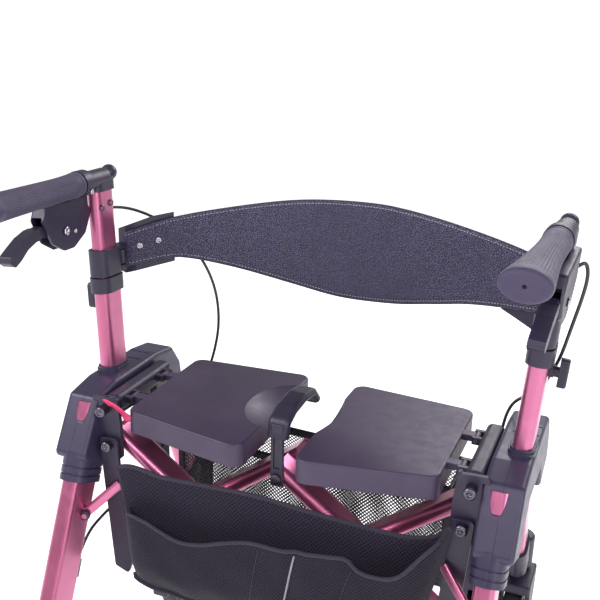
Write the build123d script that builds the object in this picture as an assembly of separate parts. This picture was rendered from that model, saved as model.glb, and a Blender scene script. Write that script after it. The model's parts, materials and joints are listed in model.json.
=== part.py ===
"""Folding rollator walker with a double cross brace, split seat and strap backrest.

Frame: +X to the user's right, +Y forwards, +Z up, origin on the floor under the middle of
the walker. Each piece is drawn for the right side and mirrored for the left one.
"""
import os
from math import atan2, cos, degrees, pi, radians, sin, tan

from build123d import *

# ---- driving dimensions, mm -------------------------------------------------------------
COLLAR_Z = 560.5        # top of the post collar above the floor
SEAT_TOP_Z = 545.5
SEAT_THICK = 32.0
POST_X = 300.0          # half the spacing of the handle posts
POST_Y = 24.0
POST_LEAN = 2.0         # degrees forwards
POST_SPLAY = 3.6        # degrees outwards
POST_W, POST_T = 44.0, 20.4
SLEEVE_W, SLEEVE_T = 48.2, 24.6
TUBE_WALL = 1.8
POST_TOP = 273.0        # along the post, from the collar
POST_BOTTOM = -62.0
CLAMP_Z = 115.0         # underside of the clamp collar, along the post
LEG_X = 289.0
LEG_W, LEG_T = 56.0, 26.0
LEG_CORNER = 9.0        # corner radius of the rear leg tube
FRONT_LEG_W, FRONT_LEG_T = 44.0, 22.0
WHEEL_R = 100.0
TYRE_W = 30.0
REAR_AXLE_Y = -237.0
STEM_Y = 268.0
TRAIL = 35.0
FRONT_AXLE_Y = STEM_Y - TRAIL
BRACE_X = 250.0         # half the spacing of the outer brace pivots
BRACE_TOP_Z = COLLAR_Z - 76.0
BRACE_DROP = 185.0      # from the top pivots to the bottom ones
BRACE_W, BRACE_T = 45.0, 22.0
REAR_PLANE_Y = -27.0
FRONT_PLANE_Y = 22.0
PIN_R = 4.0
RUNNING_GAP = 0.06
SEAT_HINGE_X = 236.0
SEAT_HINGE_Z = COLLAR_Z - 20.0
HOUSING_X0, HOUSING_X1 = 268.0, 318.0
Y_SHIFT = -(REAR_AXLE_Y + FRONT_AXLE_Y) / 2

BRACE_LOW_Z = BRACE_TOP_Z - BRACE_DROP

post_frame = Location((POST_X, POST_Y, COLLAR_Z), (-POST_LEAN, POST_SPLAY, 0))
nodes = {}


# ---- helpers ----------------------------------------------------------------------------
def box(x0, x1, y0, y1, z0, z1):
    """A block between two corners."""
    size = (x1 - x0, y1 - y0, z1 - z0)
    return Pos((x0 + x1) / 2, (y0 + y1) / 2, (z0 + z1) / 2) * Box(*size)


def soft_box(x0, x1, y0, y1, z0, z1, radius):
    """A block with all its edges rounded."""
    block = box(x0, x1, y0, y1, z0, z1)
    return fillet(block.edges(), radius)


def rod(start, end, radius):
    """A round bar from one point to another."""
    run = Vector(*end) - Vector(*start)
    plane = Plane(origin=start, z_dir=run)
    return extrude(plane * Circle(radius), run.length)


def flat_oval(start, end, width, thick, across, wall=0.0, corner=None):
    """A flat-oval bar or tube; across is the direction of its wide side."""
    run = Vector(*end) - Vector(*start)
    plane = Plane(origin=start, x_dir=across, z_dir=run)
    radius = corner or thick / 2 - 0.2
    outline = RectangleRounded(width, thick, radius)
    if wall:
        outline -= RectangleRounded(width - 2 * wall, thick - 2 * wall, radius - wall)
    return extrude(plane * outline, run.length)


def oval_ring(width, thick, wall, z0, z1):
    """An oval collar about the local Z axis; width lies along Y."""
    outer = RectangleRounded(thick + 2 * wall, width + 2 * wall, thick / 2 + wall - 0.5)
    inner = RectangleRounded(thick, width, thick / 2 - 0.2)
    return Pos(0, 0, z0) * extrude(outer - inner, z1 - z0)


def side_profile(points, x0, x1):
    """A plate outlined in the YZ plane between two X values."""
    plane = Plane(origin=(x0, 0, 0), x_dir=(0, 1, 0), z_dir=(1, 0, 0))
    return extrude(plane * make_face(Polyline(*points, close=True)), x1 - x0)


def put(name, *solids):
    """Keep right and left copies of a side piece."""
    right = Compound(children=[s for p in solids for s in p.solids()])
    left = Compound(children=[s for p in solids for s in mirror(p, about=Plane.YZ).solids()])
    nodes[name + "_right"] = right
    nodes[name + "_left"] = left


def put_one(name, *solids):
    """Keep a single piece."""
    nodes[name] = Compound(children=[s for p in solids for s in p.solids()])


# ---- legs -------------------------------------------------------------------------------
REAR_SLOPE = 0.45       # rearward travel per millimetre down
FRONT_SLOPE = 0.42


def rear_leg_y(z):
    return REAR_AXLE_Y + REAR_SLOPE * (z - WHEEL_R)


def front_leg_y(z):
    return 120.0 + FRONT_SLOPE * (COLLAR_Z - 30.0 - z)


rear_top = (LEG_X, rear_leg_y(COLLAR_Z - 30), COLLAR_Z - 30)
rear_end = (LEG_X, rear_leg_y(216), 216)
front_top = (LEG_X, front_leg_y(COLLAR_Z - 35), COLLAR_Z - 35)
front_end = (LEG_X, front_leg_y(254), 254)
rear_leg = flat_oval(rear_top, rear_end, LEG_W, LEG_T, (0, 1, 0), TUBE_WALL, LEG_CORNER)
front_leg = flat_oval(front_top, front_end, FRONT_LEG_W, FRONT_LEG_T, (0, 1, 0), TUBE_WALL)
rear_core = flat_oval(rear_top, rear_end, LEG_W, LEG_T, (0, 1, 0), corner=LEG_CORNER)
front_core = flat_oval(front_top, front_end, FRONT_LEG_W, FRONT_LEG_T, (0, 1, 0))
sleeve = post_frame * (Pos(0, 0, -70) * extrude(
    RectangleRounded(SLEEVE_T, SLEEVE_W, SLEEVE_T / 2 - 0.2)
    - RectangleRounded(POST_T + 0.6, POST_W + 0.6, POST_T / 2 + 0.1), CLAMP_Z + 76))
sleeve_core = post_frame * (Pos(0, 0, -70) * extrude(
    RectangleRounded(SLEEVE_T, SLEEVE_W, SLEEVE_T / 2 - 0.2), CLAMP_Z + 76))
rear_leg -= sleeve_core
front_leg -= sleeve_core
front_leg -= Pos(LEG_X, STEM_Y, 260) * Cylinder(9, 120)
put("rear_leg", rear_leg)
put("front_leg", front_leg)
put("sleeve_tube", sleeve)

# ---- side housing: two shells joined on a seam ---------------------------------------------
Z0 = COLLAR_Z
housing_outline = [
    (-62, Z0 - 12), (-16, Z0 - 3), (96, Z0 - 2), (142, Z0 - 8), (166, Z0 - 40), (175, Z0 - 84),
    (120, Z0 - 108), (96, Z0 - 66), (0, Z0 - 62), (-30, Z0 - 84), (-48, Z0 - 116),
    (-107, Z0 - 90)]
SEAM_X = (HOUSING_X0 + HOUSING_X1) / 2
SHELL = 3.0


def housing_body(inset, x0, x1):
    plane = Plane(origin=(x0, 0, 0), x_dir=(0, 1, 0), z_dir=(1, 0, 0))
    face = make_face(Polyline(*housing_outline, close=True))
    face = fillet(face.vertices(), 9.0)
    if inset:
        face = offset(face, -inset, kind=Kind.INTERSECTION)
    return extrude(plane * face, x1 - x0)


housing = housing_body(0, HOUSING_X0, HOUSING_X1)
rims = housing.edges().group_by(Axis.X)
housing = fillet(rims[0] + rims[-1], 6.0)
housing -= housing_body(SHELL, HOUSING_X0 + SHELL, HOUSING_X1 - SHELL)
collar_boss = post_frame * (oval_ring(SLEEVE_W, SLEEVE_T, 4.5, -14, 1)
                            + oval_ring(SLEEVE_W, SLEEVE_T, 2.6, 1, 5))
LEG_COLLAR_HIGH = Z0 - 94       # inside the end of the rear arm
LEG_COLLAR_LOW = Z0 - 131
LEG_COLLAR_W, LEG_COLLAR_T = LEG_W + 11, LEG_T + 16
leg_sleeve_top = (LEG_X, rear_leg_y(LEG_COLLAR_HIGH), LEG_COLLAR_HIGH)
leg_sleeve_end = (LEG_X, rear_leg_y(LEG_COLLAR_LOW), LEG_COLLAR_LOW)
leg_sleeve = flat_oval(leg_sleeve_top, leg_sleeve_end, LEG_COLLAR_W, LEG_COLLAR_T, (0, 1, 0))
for ring_z in (LEG_COLLAR_LOW + 20, LEG_COLLAR_LOW + 10):
    ring_a = (LEG_X, rear_leg_y(ring_z), ring_z)
    ring_b = (LEG_X, rear_leg_y(ring_z - 2.5), ring_z - 2.5)
    groove = flat_oval(ring_a, ring_b, LEG_COLLAR_W + 20, LEG_COLLAR_T + 20, (0, 1, 0))
    groove -= flat_oval(ring_a, ring_b, LEG_COLLAR_W - 4, LEG_COLLAR_T - 4, (0, 1, 0))
    leg_sleeve -= groove
front_sleeve_top = (LEG_X, front_leg_y(Z0 - 88), Z0 - 88)
front_sleeve_end = (LEG_X, front_leg_y(Z0 - 124), Z0 - 124)
front_sleeve = flat_oval(front_sleeve_top, front_sleeve_end, FRONT_LEG_W + 11, FRONT_LEG_T + 12, (0, 1, 0))
housing = housing + collar_boss + leg_sleeve + front_sleeve
for front in (40, 66, 92):
    groove = box(HOUSING_X0 + 12, HOUSING_X1 - 4, front + 22, front + 24.5, Z0 - 4, Z0 + 4)
    housing -= groove
housing = housing - rear_core - front_core - sleeve_core
half = box(SEAM_X + 0.1, 400, -400, 400, 300, 700)
outer_half = housing & half
inner_half = housing & box(200, SEAM_X - 0.1, -400, 400, 300, 700)
put("housing_outer", outer_half)
put("housing_inner", inner_half)

# ---- hinge plate, seat rail and pouch hook strip ---------------------------------------------
RAIL_X0, RAIL_X1 = 243.0, 267.0
rail = soft_box(RAIL_X0, RAIL_X1, -52, 96, Z0 - 36, Z0 - 10, 8.0)
rail += box(RAIL_X0 + 4, 268.0, -40, 80, Z0 - 34, Z0 - 18)
plate_outline = Polyline(
    (238, Z0 - 8), (276, Z0 - 6), (281, Z0 - 60), (262, Z0 - 102), (233, Z0 - 98), (234, Z0 - 44),
    close=True)
plate_plane = Plane(origin=(0, -58, 0), x_dir=(1, 0, 0), z_dir=(0, -1, 0))
plate_face = fillet(make_face(plate_outline).vertices(), 5.0)
hinge_plate = extrude(plate_plane * plate_face, 6)
UPPER_BOLT = (256.0, Z0 - 24)
LOWER_BOLT = (BRACE_X, BRACE_TOP_Z)
for bolt_x, bolt_z in (UPPER_BOLT, LOWER_BOLT):
    hinge_plate -= rod((bolt_x, -70, bolt_z), (bolt_x, -50, bolt_z), PIN_R)
hook_outline = Polyline(
    (236, Z0 - 66), (264, Z0 - 66), (262, Z0 - 104), (248, Z0 - 272), (226, Z0 - 280),
    (220, Z0 - 262), (232, Z0 - 150), close=True)
hook_plane = Plane(origin=(0, -66, 0), x_dir=(1, 0, 0), z_dir=(0, -1, 0))
hook = extrude(hook_plane * fillet(make_face(hook_outline).vertices(), 4.0), 5)
hook -= rod((BRACE_X, -90, BRACE_TOP_Z), (BRACE_X, -50, BRACE_TOP_Z), PIN_R)
rail_lugs = []
for lug_y in (-22.0, 62.0):
    for side_y in (lug_y - 13.5, lug_y + 7.5):
        lug = box(SEAT_HINGE_X - 5, RAIL_X0 + 6, side_y, side_y + 6, SEAT_HINGE_Z - 5, SEAT_HINGE_Z + 5)
        rail_lugs.append(lug - rod((SEAT_HINGE_X, side_y - 1, SEAT_HINGE_Z),
                                   (SEAT_HINGE_X, side_y + 7, SEAT_HINGE_Z), 3.0))
for lug in rail_lugs:
    rail += lug
rail -= rod((UPPER_BOLT[0], -90, UPPER_BOLT[1]), (UPPER_BOLT[0], -30, UPPER_BOLT[1]), PIN_R)
solid_housing = housing_body(0, HOUSING_X0, HOUSING_X1) + leg_sleeve + front_sleeve
rail -= solid_housing
hinge_plate = hinge_plate - solid_housing - rear_core
hook = hook - solid_housing - rear_core

# ---- brace guide: the channel that the outer bottom ends of the brace run down ----------------
GUIDE_Y0, GUIDE_Y1 = 50.0, 74.0
GUIDE_LOW_Z = Z0 - 412.0
guide = soft_box(BRACE_X - 13, BRACE_X + 13, GUIDE_Y0, GUIDE_Y1, GUIDE_LOW_Z, Z0 - 70, 3.0)
slot_z0, slot_z1 = BRACE_LOW_Z - 128, BRACE_LOW_Z + 14
guide -= box(BRACE_X - 4.6, BRACE_X + 4.6, GUIDE_Y0 - 1, GUIDE_Y1 - 6, slot_z0, slot_z1)
guide += box(BRACE_X + 6, LEG_X, GUIDE_Y0 + 4, GUIDE_Y1 - 4, Z0 - 92, Z0 - 60)
guide += box(BRACE_X - 4, BRACE_X + 8, GUIDE_Y0 + 4, GUIDE_Y1 - 4, Z0 - 72, Z0 - 30)
guide = guide - solid_housing - rail
put("seat_rail", rail, hinge_plate, hook, guide)

# ---- side stay: a short bar from the rear leg to the hook strip --------------------------------
STAY_OUT = (277.5, -99, Z0 - 179)
STAY_IN = (232, -73, Z0 - 132)
STAY_W, STAY_T = 14.0, 8.0
stay = flat_oval(STAY_OUT, STAY_IN, STAY_W, STAY_T, (0, 0, 1)) - hook - rear_core
put("side_stay", stay)

# ---- wheel brackets: rear fork and caster head ------------------------------------------------
leg_run = Vector(0, rear_leg_y(0) - rear_leg_y(1), -1).normalized()
FORK_GAP = TYRE_W / 2 + 4


def straddle(axle_y, crown_low, crown_high, lean):
    """A two-armed fork about an axle; its crown lies along the lean direction."""
    along = Plane(origin=(LEG_X, axle_y, WHEEL_R), x_dir=(1, 0, 0), z_dir=lean)
    crown = extrude(along.offset(crown_low) * RectangleRounded(2 * FORK_GAP + 14, 46, 6),
                    crown_high - crown_low)
    arms = []
    for side in (-1, 1):
        middle = side * (FORK_GAP + 3.5)
        arm = extrude(along * (Pos(middle, 0) * RectangleRounded(7, 34, 3)), crown_low + 1)
        boss = Pos(LEG_X + middle, axle_y, WHEEL_R) * Rot(0, 90, 0) * Cylinder(19, 9)
        arms.append(arm + boss)
    body = crown + arms[0] + arms[1]
    bore = Pos(LEG_X, axle_y, WHEEL_R) * Rot(0, 90, 0) * Cylinder(5.0, 100)
    return body - bore


up_leg = (0, -leg_run.Y, -leg_run.Z)
rear_fork = straddle(REAR_AXLE_Y, 106, 122, up_leg)
socket_low = (LEG_X, rear_leg_y(209), 209)
socket_high = (LEG_X, rear_leg_y(262), 262)
rear_fork += flat_oval(socket_low, socket_high, LEG_W + 8, LEG_T + 8, (0, 1, 0))
SHOE_REACH = 84.9       # the shoe pivot, forward of the axle and above it
SHOE_PIVOT = (REAR_AXLE_Y + SHOE_REACH, WHEEL_R + SHOE_REACH)
ear_offsets = [(58, 92), (68, 106), (94, 95), (96, 82), (84, 74), (74, 79)]
ear_points = [(REAR_AXLE_Y + y, WHEEL_R + z) for y, z in ear_offsets]
for ear_x in (LEG_X - 17, LEG_X + 12):
    rear_fork += side_profile(ear_points, ear_x, ear_x + 5)
rear_fork -= rear_core
rear_fork -= rod((200, SHOE_PIVOT[0], SHOE_PIVOT[1]), (400, SHOE_PIVOT[0], SHOE_PIVOT[1]), PIN_R)
rear_fork -= Pos(LEG_X, REAR_AXLE_Y, WHEEL_R) * Rot(0, 90, 0) * Cylinder(WHEEL_R + 4, TYRE_W + 7)
HEAD_LOW, HEAD_HIGH = 234.0, 286.0
head = Pos(LEG_X, STEM_Y, (HEAD_LOW + HEAD_HIGH) / 2) * Cylinder(19, HEAD_HIGH - HEAD_LOW)
head = fillet(head.edges().group_by(Axis.Z)[-1], 5.0)
head += flat_oval((LEG_X, front_leg_y(296), 296), (LEG_X, front_leg_y(248), 248),
                  FRONT_LEG_W + 8, FRONT_LEG_T + 8, (0, 1, 0))
head -= box(200, 400, 100, 400, 200, HEAD_LOW)
head -= front_core
head -= Pos(LEG_X, STEM_Y, HEAD_LOW + 21) * Cylinder(6.0 + RUNNING_GAP, 44)
put("wheel_brackets", rear_fork, head)

# ---- casters ------------------------------------------------------------------------------
fork = straddle(FRONT_AXLE_Y, 96, 100, (0, 0, 1))
fork -= Pos(LEG_X, FRONT_AXLE_Y, WHEEL_R) * Rot(0, 90, 0) * Cylinder(WHEEL_R + 4, TYRE_W + 7)
crown = soft_box(LEG_X - FORK_GAP - 7, LEG_X + FORK_GAP + 7, FRONT_AXLE_Y - 22, STEM_Y + 18, 208, 226, 4.0)
cheeks = []
for side in (-1, 1):
    x_in = LEG_X + side * FORK_GAP
    x_out = LEG_X + side * (FORK_GAP + 7)
    cheeks.append(side_profile([(FRONT_AXLE_Y - 17, WHEEL_R), (FRONT_AXLE_Y - 20, 212), (STEM_Y + 16, 212),
                                (FRONT_AXLE_Y + 17, WHEEL_R)], min(x_in, x_out), max(x_in, x_out)))
fork = fork + crown + cheeks[0] + cheeks[1]
fork -= Pos(LEG_X, FRONT_AXLE_Y, WHEEL_R) * Rot(0, 90, 0) * Cylinder(5.0, 100)
fork += Pos(LEG_X, STEM_Y, 229.5) * Cylinder(15, 8)
fork += Pos(LEG_X, STEM_Y, 250) * Cylinder(6.0, 48)
axle_parts = []


def axle(axle_y):
    """An axle bolt with a head and a nut."""
    shaft = Pos(LEG_X, axle_y, WHEEL_R) * Rot(0, 90, 0) * Cylinder(5.0, 2 * FORK_GAP + 16)
    for side in (-1, 1):
        cap = Pos(LEG_X + side * (FORK_GAP + 10.5), axle_y, WHEEL_R) * Rot(0, 90, 0) * Cylinder(8.5, 5)
        shaft += cap
    return shaft


put("caster_fork", fork, axle(FRONT_AXLE_Y))


# ---- wheels -------------------------------------------------------------------------------
def wheel_hub(axle_y):
    """A five-spoke hub moulding with a rim channel and a bearing boss."""
    rim_r = WHEEL_R - 17
    hub = Cylinder(rim_r, TYRE_W - 6) - Cylinder(rim_r - 7, TYRE_W)
    hub += Cylinder(17, TYRE_W + 2)
    for index in range(5):
        spoke = Pos((rim_r - 6) / 2 + 7, 0, 0) * Box(rim_r - 14, 15, 13)
        hub += Rot(0, 0, 72 * index) * spoke
    hub += Cylinder(rim_r - 3, 3.0)
    hub -= Cylinder(5.0 + RUNNING_GAP, TYRE_W + 10)
    return Pos(LEG_X, axle_y, WHEEL_R) * Rot(0, 90, 0) * hub


def tyre(axle_y):
    """A solid tyre with a rounded tread and shallow grooves."""
    section = Plane.XZ * (Pos(WHEEL_R - 8.5, 0) * RectangleRounded(17, TYRE_W, 7.5))
    ring = revolve(section, Axis.Z)
    ring -= Cylinder(WHEEL_R - 17, TYRE_W + 10)
    for groove_x in (-6, 6):
        ring -= Pos(0, 0, groove_x) * (Cylinder(WHEEL_R + 1, 1.6) - Cylinder(WHEEL_R - 1.2, 1.6))
    return Pos(LEG_X, axle_y, WHEEL_R) * Rot(0, 90, 0) * ring


for name, axle_y in (("rear", REAR_AXLE_Y), ("front", FRONT_AXLE_Y)):
    put(name + "_hub", wheel_hub(axle_y))
    put(name + "_tyre", tyre(axle_y))

# ---- brake shoe on its arm ------------------------------------------------------------------
SHOE_GAP = 3.0
shoe_angle = atan2(SHOE_PIVOT[1] - WHEEL_R, SHOE_PIVOT[0] - REAR_AXLE_Y)
pad_angle = shoe_angle - radians(13)
PAD_R = WHEEL_R + SHOE_GAP
pad_ring = Cylinder(PAD_R + 9, 24) - Cylinder(PAD_R, 26)
pad_ring = Pos(LEG_X, REAR_AXLE_Y, WHEEL_R) * Rot(0, 90, 0) * pad_ring
pad_mid = (REAR_AXLE_Y + PAD_R * cos(pad_angle), WHEEL_R + PAD_R * sin(pad_angle))
pad = pad_ring & (Pos(LEG_X, pad_mid[0] + 4, pad_mid[1] + 3) * Rot(degrees(pad_angle), 0, 0) * Box(24, 40, 22))
arm = rod((LEG_X - 11.5, SHOE_PIVOT[0], SHOE_PIVOT[1]), (LEG_X + 11.5, SHOE_PIVOT[0], SHOE_PIVOT[1]), 8.5)
arm += side_profile([(SHOE_PIVOT[0] - 6, SHOE_PIVOT[1] - 4), (SHOE_PIVOT[0] + 6, SHOE_PIVOT[1] + 6),
                     (pad_mid[0] + 16, pad_mid[1] + 2), (pad_mid[0] + 7, pad_mid[1] - 4)],
                    LEG_X - 9, LEG_X + 9)
shoe = pad + arm
shoe -= Pos(LEG_X, REAR_AXLE_Y, WHEEL_R) * Rot(0, 90, 0) * Cylinder(PAD_R, 60)
shoe -= rod((200, SHOE_PIVOT[0], SHOE_PIVOT[1]), (400, SHOE_PIVOT[0], SHOE_PIVOT[1]), PIN_R + RUNNING_GAP)
put("brake_shoe", shoe)

# ---- clamp collars on the post ----------------------------------------------------------------
KNOB_Y, KNOB_Z = 4.0, CLAMP_Z - 11
BOSS_X0, BOSS_X1 = 12.0, 18.4
RING_TOP = CLAMP_Z + 22
BACKREST_LOW, BACKREST_HIGH = CLAMP_Z + 24, CLAMP_Z + 62
PIN_MID = (BACKREST_LOW + BACKREST_HIGH) / 2
EAR_THICK = 7.0
post_hole = RectangleRounded(POST_T + 0.6, POST_W + 0.6, POST_T / 2 + 0.1)
sleeve_hole = RectangleRounded(SLEEVE_T, SLEEVE_W, SLEEVE_T / 2 - 0.2)
clamp = oval_ring(SLEEVE_W, SLEEVE_T, 4.0, CLAMP_Z, CLAMP_Z + 6)
clamp += oval_ring(POST_W + 0.6, POST_T + 0.6, 6.0, CLAMP_Z + 6, RING_TOP)
clamp += box(BOSS_X0, BOSS_X1 - 2, KNOB_Y - 8, KNOB_Y + 8, KNOB_Z, CLAMP_Z + 14)
clamp += Pos((BOSS_X0 + BOSS_X1) / 2, KNOB_Y, KNOB_Z) * Rot(0, 90, 0) * Cylinder(8, BOSS_X1 - BOSS_X0)
clamp -= Pos(0, 0, KNOB_Z - 20) * extrude(sleeve_hole, CLAMP_Z + 6 - KNOB_Z + 20)
clamp -= Pos(0, 0, CLAMP_Z) * extrude(post_hole, 40)
clamp -= Pos(25, KNOB_Y, KNOB_Z) * Rot(0, 90, 0) * Cylinder(3.0 + RUNNING_GAP, 40)
backrest_clamp = oval_ring(POST_W + 0.6, POST_T + 0.6, 5.0, BACKREST_LOW, BACKREST_HIGH)
backrest_clamp += box(8, 16, -6, 6, RING_TOP, BACKREST_LOW + 6)
BRACKET_PIN = (-5.0, POST_W / 2 + 12.5)
ear_y0, ear_y1 = POST_W / 2 + 2, POST_W / 2 + 18
backrest_clamp += box(-11, 3, ear_y0, ear_y1, BACKREST_LOW, BACKREST_LOW + EAR_THICK)
backrest_clamp += box(-11, 3, ear_y0, ear_y1, BACKREST_HIGH - EAR_THICK, BACKREST_HIGH)
backrest_clamp -= Pos(0, 0, CLAMP_Z) * extrude(post_hole, 90)
backrest_clamp += Pos(*BRACKET_PIN, PIN_MID) * Cylinder(2.5, BACKREST_HIGH - BACKREST_LOW + 4)
put("clamp_collars", post_frame * clamp, post_frame * backrest_clamp)

# ---- height knob --------------------------------------------------------------------------
KNOB_X0, KNOB_X1 = 24.0, 35.0
knob = Pos(21.5, KNOB_Y, KNOB_Z) * Rot(0, 90, 0) * Cylinder(3.0, 17)
knob += Pos((BOSS_X1 + KNOB_X0) / 2 + 0.3, KNOB_Y, KNOB_Z) * Rot(0, 90, 0) * Cylinder(6.5, KNOB_X0 - BOSS_X1)
wing = extrude(RectangleRounded(38, 13, 5.5), KNOB_X1 - KNOB_X0)
wing = fillet(wing.edges().group_by(Axis.Z)[-1], 3.0)
knob += Pos(KNOB_X0, KNOB_Y, KNOB_Z) * Rot(0, 90, 0) * wing
put("height_knob", post_frame * knob)

# ---- telescopic post, handle bar, grip ------------------------------------------------------------
post = Pos(0, 0, POST_BOTTOM) * extrude(
    RectangleRounded(POST_T, POST_W, POST_T / 2 - 0.2)
    - RectangleRounded(POST_T - 2 * TUBE_WALL, POST_W - 2 * TUBE_WALL, POST_T / 2 - TUBE_WALL - 0.2),
    POST_TOP - POST_BOTTOM)
BAR_R = 14.0
BAR_TILT = 1.0          # degrees down towards the rear, from square to the post
BAR_TOE = -1.6          # degrees inwards towards the rear
BRAKE_TILT = 5.0        # of the brake body from the bar
HANDLE_Z = POST_TOP + 3.0
handle_frame = post_frame * Location((0, 0, HANDLE_Z), (BAR_TILT, 0, BAR_TOE))
brake_frame = handle_frame * Rot(BRAKE_TILT, 0, 0)
bar_in_brake = Rot(-BRAKE_TILT, 0, 0)
BAR_FRONT, GRIP_FRONT, GRIP_REAR = 15.0, -54.0, -250.0
BALL_Y, BALL_Z, BALL_R = 27.0, 5.0, 11.3
NECK_R = 8.0
bar_solid = Pos(0, (BAR_FRONT + GRIP_FRONT) / 2, 0) * Rot(90, 0, 0) * Cylinder(BAR_R, BAR_FRONT - GRIP_FRONT)
bar_solid = fillet(bar_solid.edges().sort_by(Axis.Y)[-1], 5.0)
bar_solid += rod((0, 0, 0), (0, BALL_Y, BALL_Z), NECK_R)
bar_solid += Pos(0, BALL_Y, BALL_Z) * Sphere(BALL_R)
core = Pos(0, (GRIP_FRONT + GRIP_REAR) / 2 + 4, 0) * Rot(90, 0, 0) * Cylinder(10.95, GRIP_FRONT - GRIP_REAR - 8.1)
bar_solid += core
saddle = Pos(0, 0, -BAR_R - 2) * extrude(RectangleRounded(POST_T + 7, POST_W + 5, POST_T / 2 + 2), BAR_R + 4)
bar_solid += saddle
bar_in_post = handle_frame * bar_solid
bar_in_post -= post_frame * (Pos(0, 0, POST_BOTTOM) * extrude(
    RectangleRounded(POST_T, POST_W, POST_T / 2 - 0.2), POST_TOP - POST_BOTTOM - 1))
post_solid = (post_frame * post) - bar_in_post
bolts = []
for bolt_y, bolt_z in ((-13, 237), (9, 241)):
    bolts.append(post_frame * (Pos(-POST_T / 2 - 1.2, bolt_y, bolt_z) * Rot(0, 90, 0) * Cylinder(4.2, 2.4)))
put("post", post_solid, *bolts)
put("handle_bar", bar_in_post)

grip_frame = handle_frame * Location((0, GRIP_FRONT, 0), (90, 0, 0))


def grip_station(depth, width, height, drop):
    """One cross-section of the grip, depth millimetres behind its front end."""
    return Pos(0, -drop, depth) * Ellipse(width / 2, height / 2)


grip_length = GRIP_FRONT - GRIP_REAR


def grip_form(extra):
    """The palm shape of the grip, larger all round by the extra given."""
    stations = [(0, 32, 32, 0), (0.3, 34, 33, 1), (0.7, 43, 34, 1), (0.94, 52, 35, 1), (1, 45, 28, 1)]
    sections = [grip_station(share * grip_length, width + 2 * extra, height + 2 * extra, drop)
                for share, width, height, drop in stations]
    return loft(sections)


grip = grip_form(0) - Pos(0, 0, (grip_length - 8) / 2 - 0.01) * Cylinder(11.0, grip_length - 8)
put("grip", grip_frame * grip)

# ---- brake body and lever -----------------------------------------------------------------------
BODY_X0, BODY_X1 = 3.0, 25.0
BODY_WALL = 3.6
LEVER_PIVOT = (-88.0, -50.0)
body_points = [(-27, -4), (-30, -30), (-26, -41), (-45, -65), (-75, -77), (-97, -75), (-120, -59), (-133, -25),
               (-122, -8)]
body_face = fillet(make_face(Polyline(*body_points, close=True)).vertices(), 6.0)
body_plane = Plane(origin=(BODY_X0, 0, 0), x_dir=(0, 1, 0), z_dir=(1, 0, 0))
brake_body = extrude(body_plane * body_face, BODY_X1 - BODY_X0)
brake_body = fillet(brake_body.edges().group_by(Axis.X)[-1], 4.0)
ring = Pos(0, GRIP_FRONT + 9, 0) * Rot(90, 0, 0) * (Cylinder(BAR_R + 4, 16) - Cylinder(BAR_R, 30))
brake_body += bar_in_brake * ring
brake_body -= bar_in_brake * Rot(90, 0, 0) * Cylinder(BAR_R + 0.02, 400)
brake_body -= bar_in_brake * Location((0, GRIP_FRONT, 0), (90, 0, 0)) * grip_form(0.3)
slot_points = [(-140, -34), (-126, -84), (-84, -84), (-68, -62), (-68, -38), (-84, -28), (-118, -24), (-140, -18)]
brake_body -= side_profile(slot_points, BODY_X0 + BODY_WALL, BODY_X1 - BODY_WALL)
brake_body -= rod((0, *LEVER_PIVOT), (40, *LEVER_PIVOT), 3.0)
LEVER_MID = (BODY_X0 + BODY_X1) / 2
FERRULE_X, FERRULE_Y, FERRULE_Z = 18.0, -26.0, -40.0
FERRULE_LENGTH = 8.0
ferrule = rod((FERRULE_X, FERRULE_Y - 8, FERRULE_Z), (FERRULE_X, FERRULE_Y + FERRULE_LENGTH, FERRULE_Z), 3.6)
brake_body += ferrule
pin = rod((BODY_X0 - 1.5, *LEVER_PIVOT), (BODY_X1 + 1.5, *LEVER_PIVOT), 3.0)
pin += rod((BODY_X0 - 1.6, *LEVER_PIVOT), (BODY_X0 - 0.05, *LEVER_PIVOT), 5.0)
pin += rod((BODY_X1 + 0.05, *LEVER_PIVOT), (BODY_X1 + 1.6, *LEVER_PIVOT), 5.0)
put("brake_body", brake_frame * brake_body, brake_frame * pin)

ROOT_HALF, BLADE_HALF, LEVER_WALL = 6.4, 9.0, 2.6
lever_points = [(-84, -42), (-112, -38), (-130, -32), (-150, -32), (-170, -36), (-187, -43), (-203, -50),
                (-206, -57), (-197, -65), (-184, -60), (-168, -51), (-150, -46.5), (-131, -47), (-112, -53),
                (-84, -59)]
hollow_points = [(-96, -45), (-112, -42), (-130, -36), (-150, -36), (-170, -40), (-184, -46), (-193, -52),
                 (-193, -80), (-96, -80)]
lever_face = fillet(make_face(Polyline(*lever_points, close=True)).vertices(), 3.0)
lever_plane = Plane(origin=(LEVER_MID, 0, 0), x_dir=(0, 1, 0), z_dir=(1, 0, 0))
lever = extrude(lever_plane * lever_face, ROOT_HALF, both=True)
WIDE_FROM = -140.0
outer_blade = extrude(lever_plane * lever_face, BLADE_HALF, both=True)
outer_blade = outer_blade & box(-20, 60, -260, WIDE_FROM, -100, 0)
lever += outer_blade
lever -= side_profile(hollow_points, LEVER_MID - ROOT_HALF + LEVER_WALL, LEVER_MID + ROOT_HALF - LEVER_WALL)
for rib_y in (-112, -132, -152, -172, -190):
    lever += (box(LEVER_MID - ROOT_HALF + 1, LEVER_MID + ROOT_HALF - 1, rib_y - 1, rib_y + 1, -70, -28)
              & extrude(lever_plane * lever_face, ROOT_HALF, both=True))
lever += rod((LEVER_MID - ROOT_HALF, *LEVER_PIVOT), (LEVER_MID + ROOT_HALF, *LEVER_PIVOT), 8.5)
lever -= rod((0, *LEVER_PIVOT), (40, *LEVER_PIVOT), 3.0 + RUNNING_GAP)
put("brake_lever", brake_frame * lever)

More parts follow.
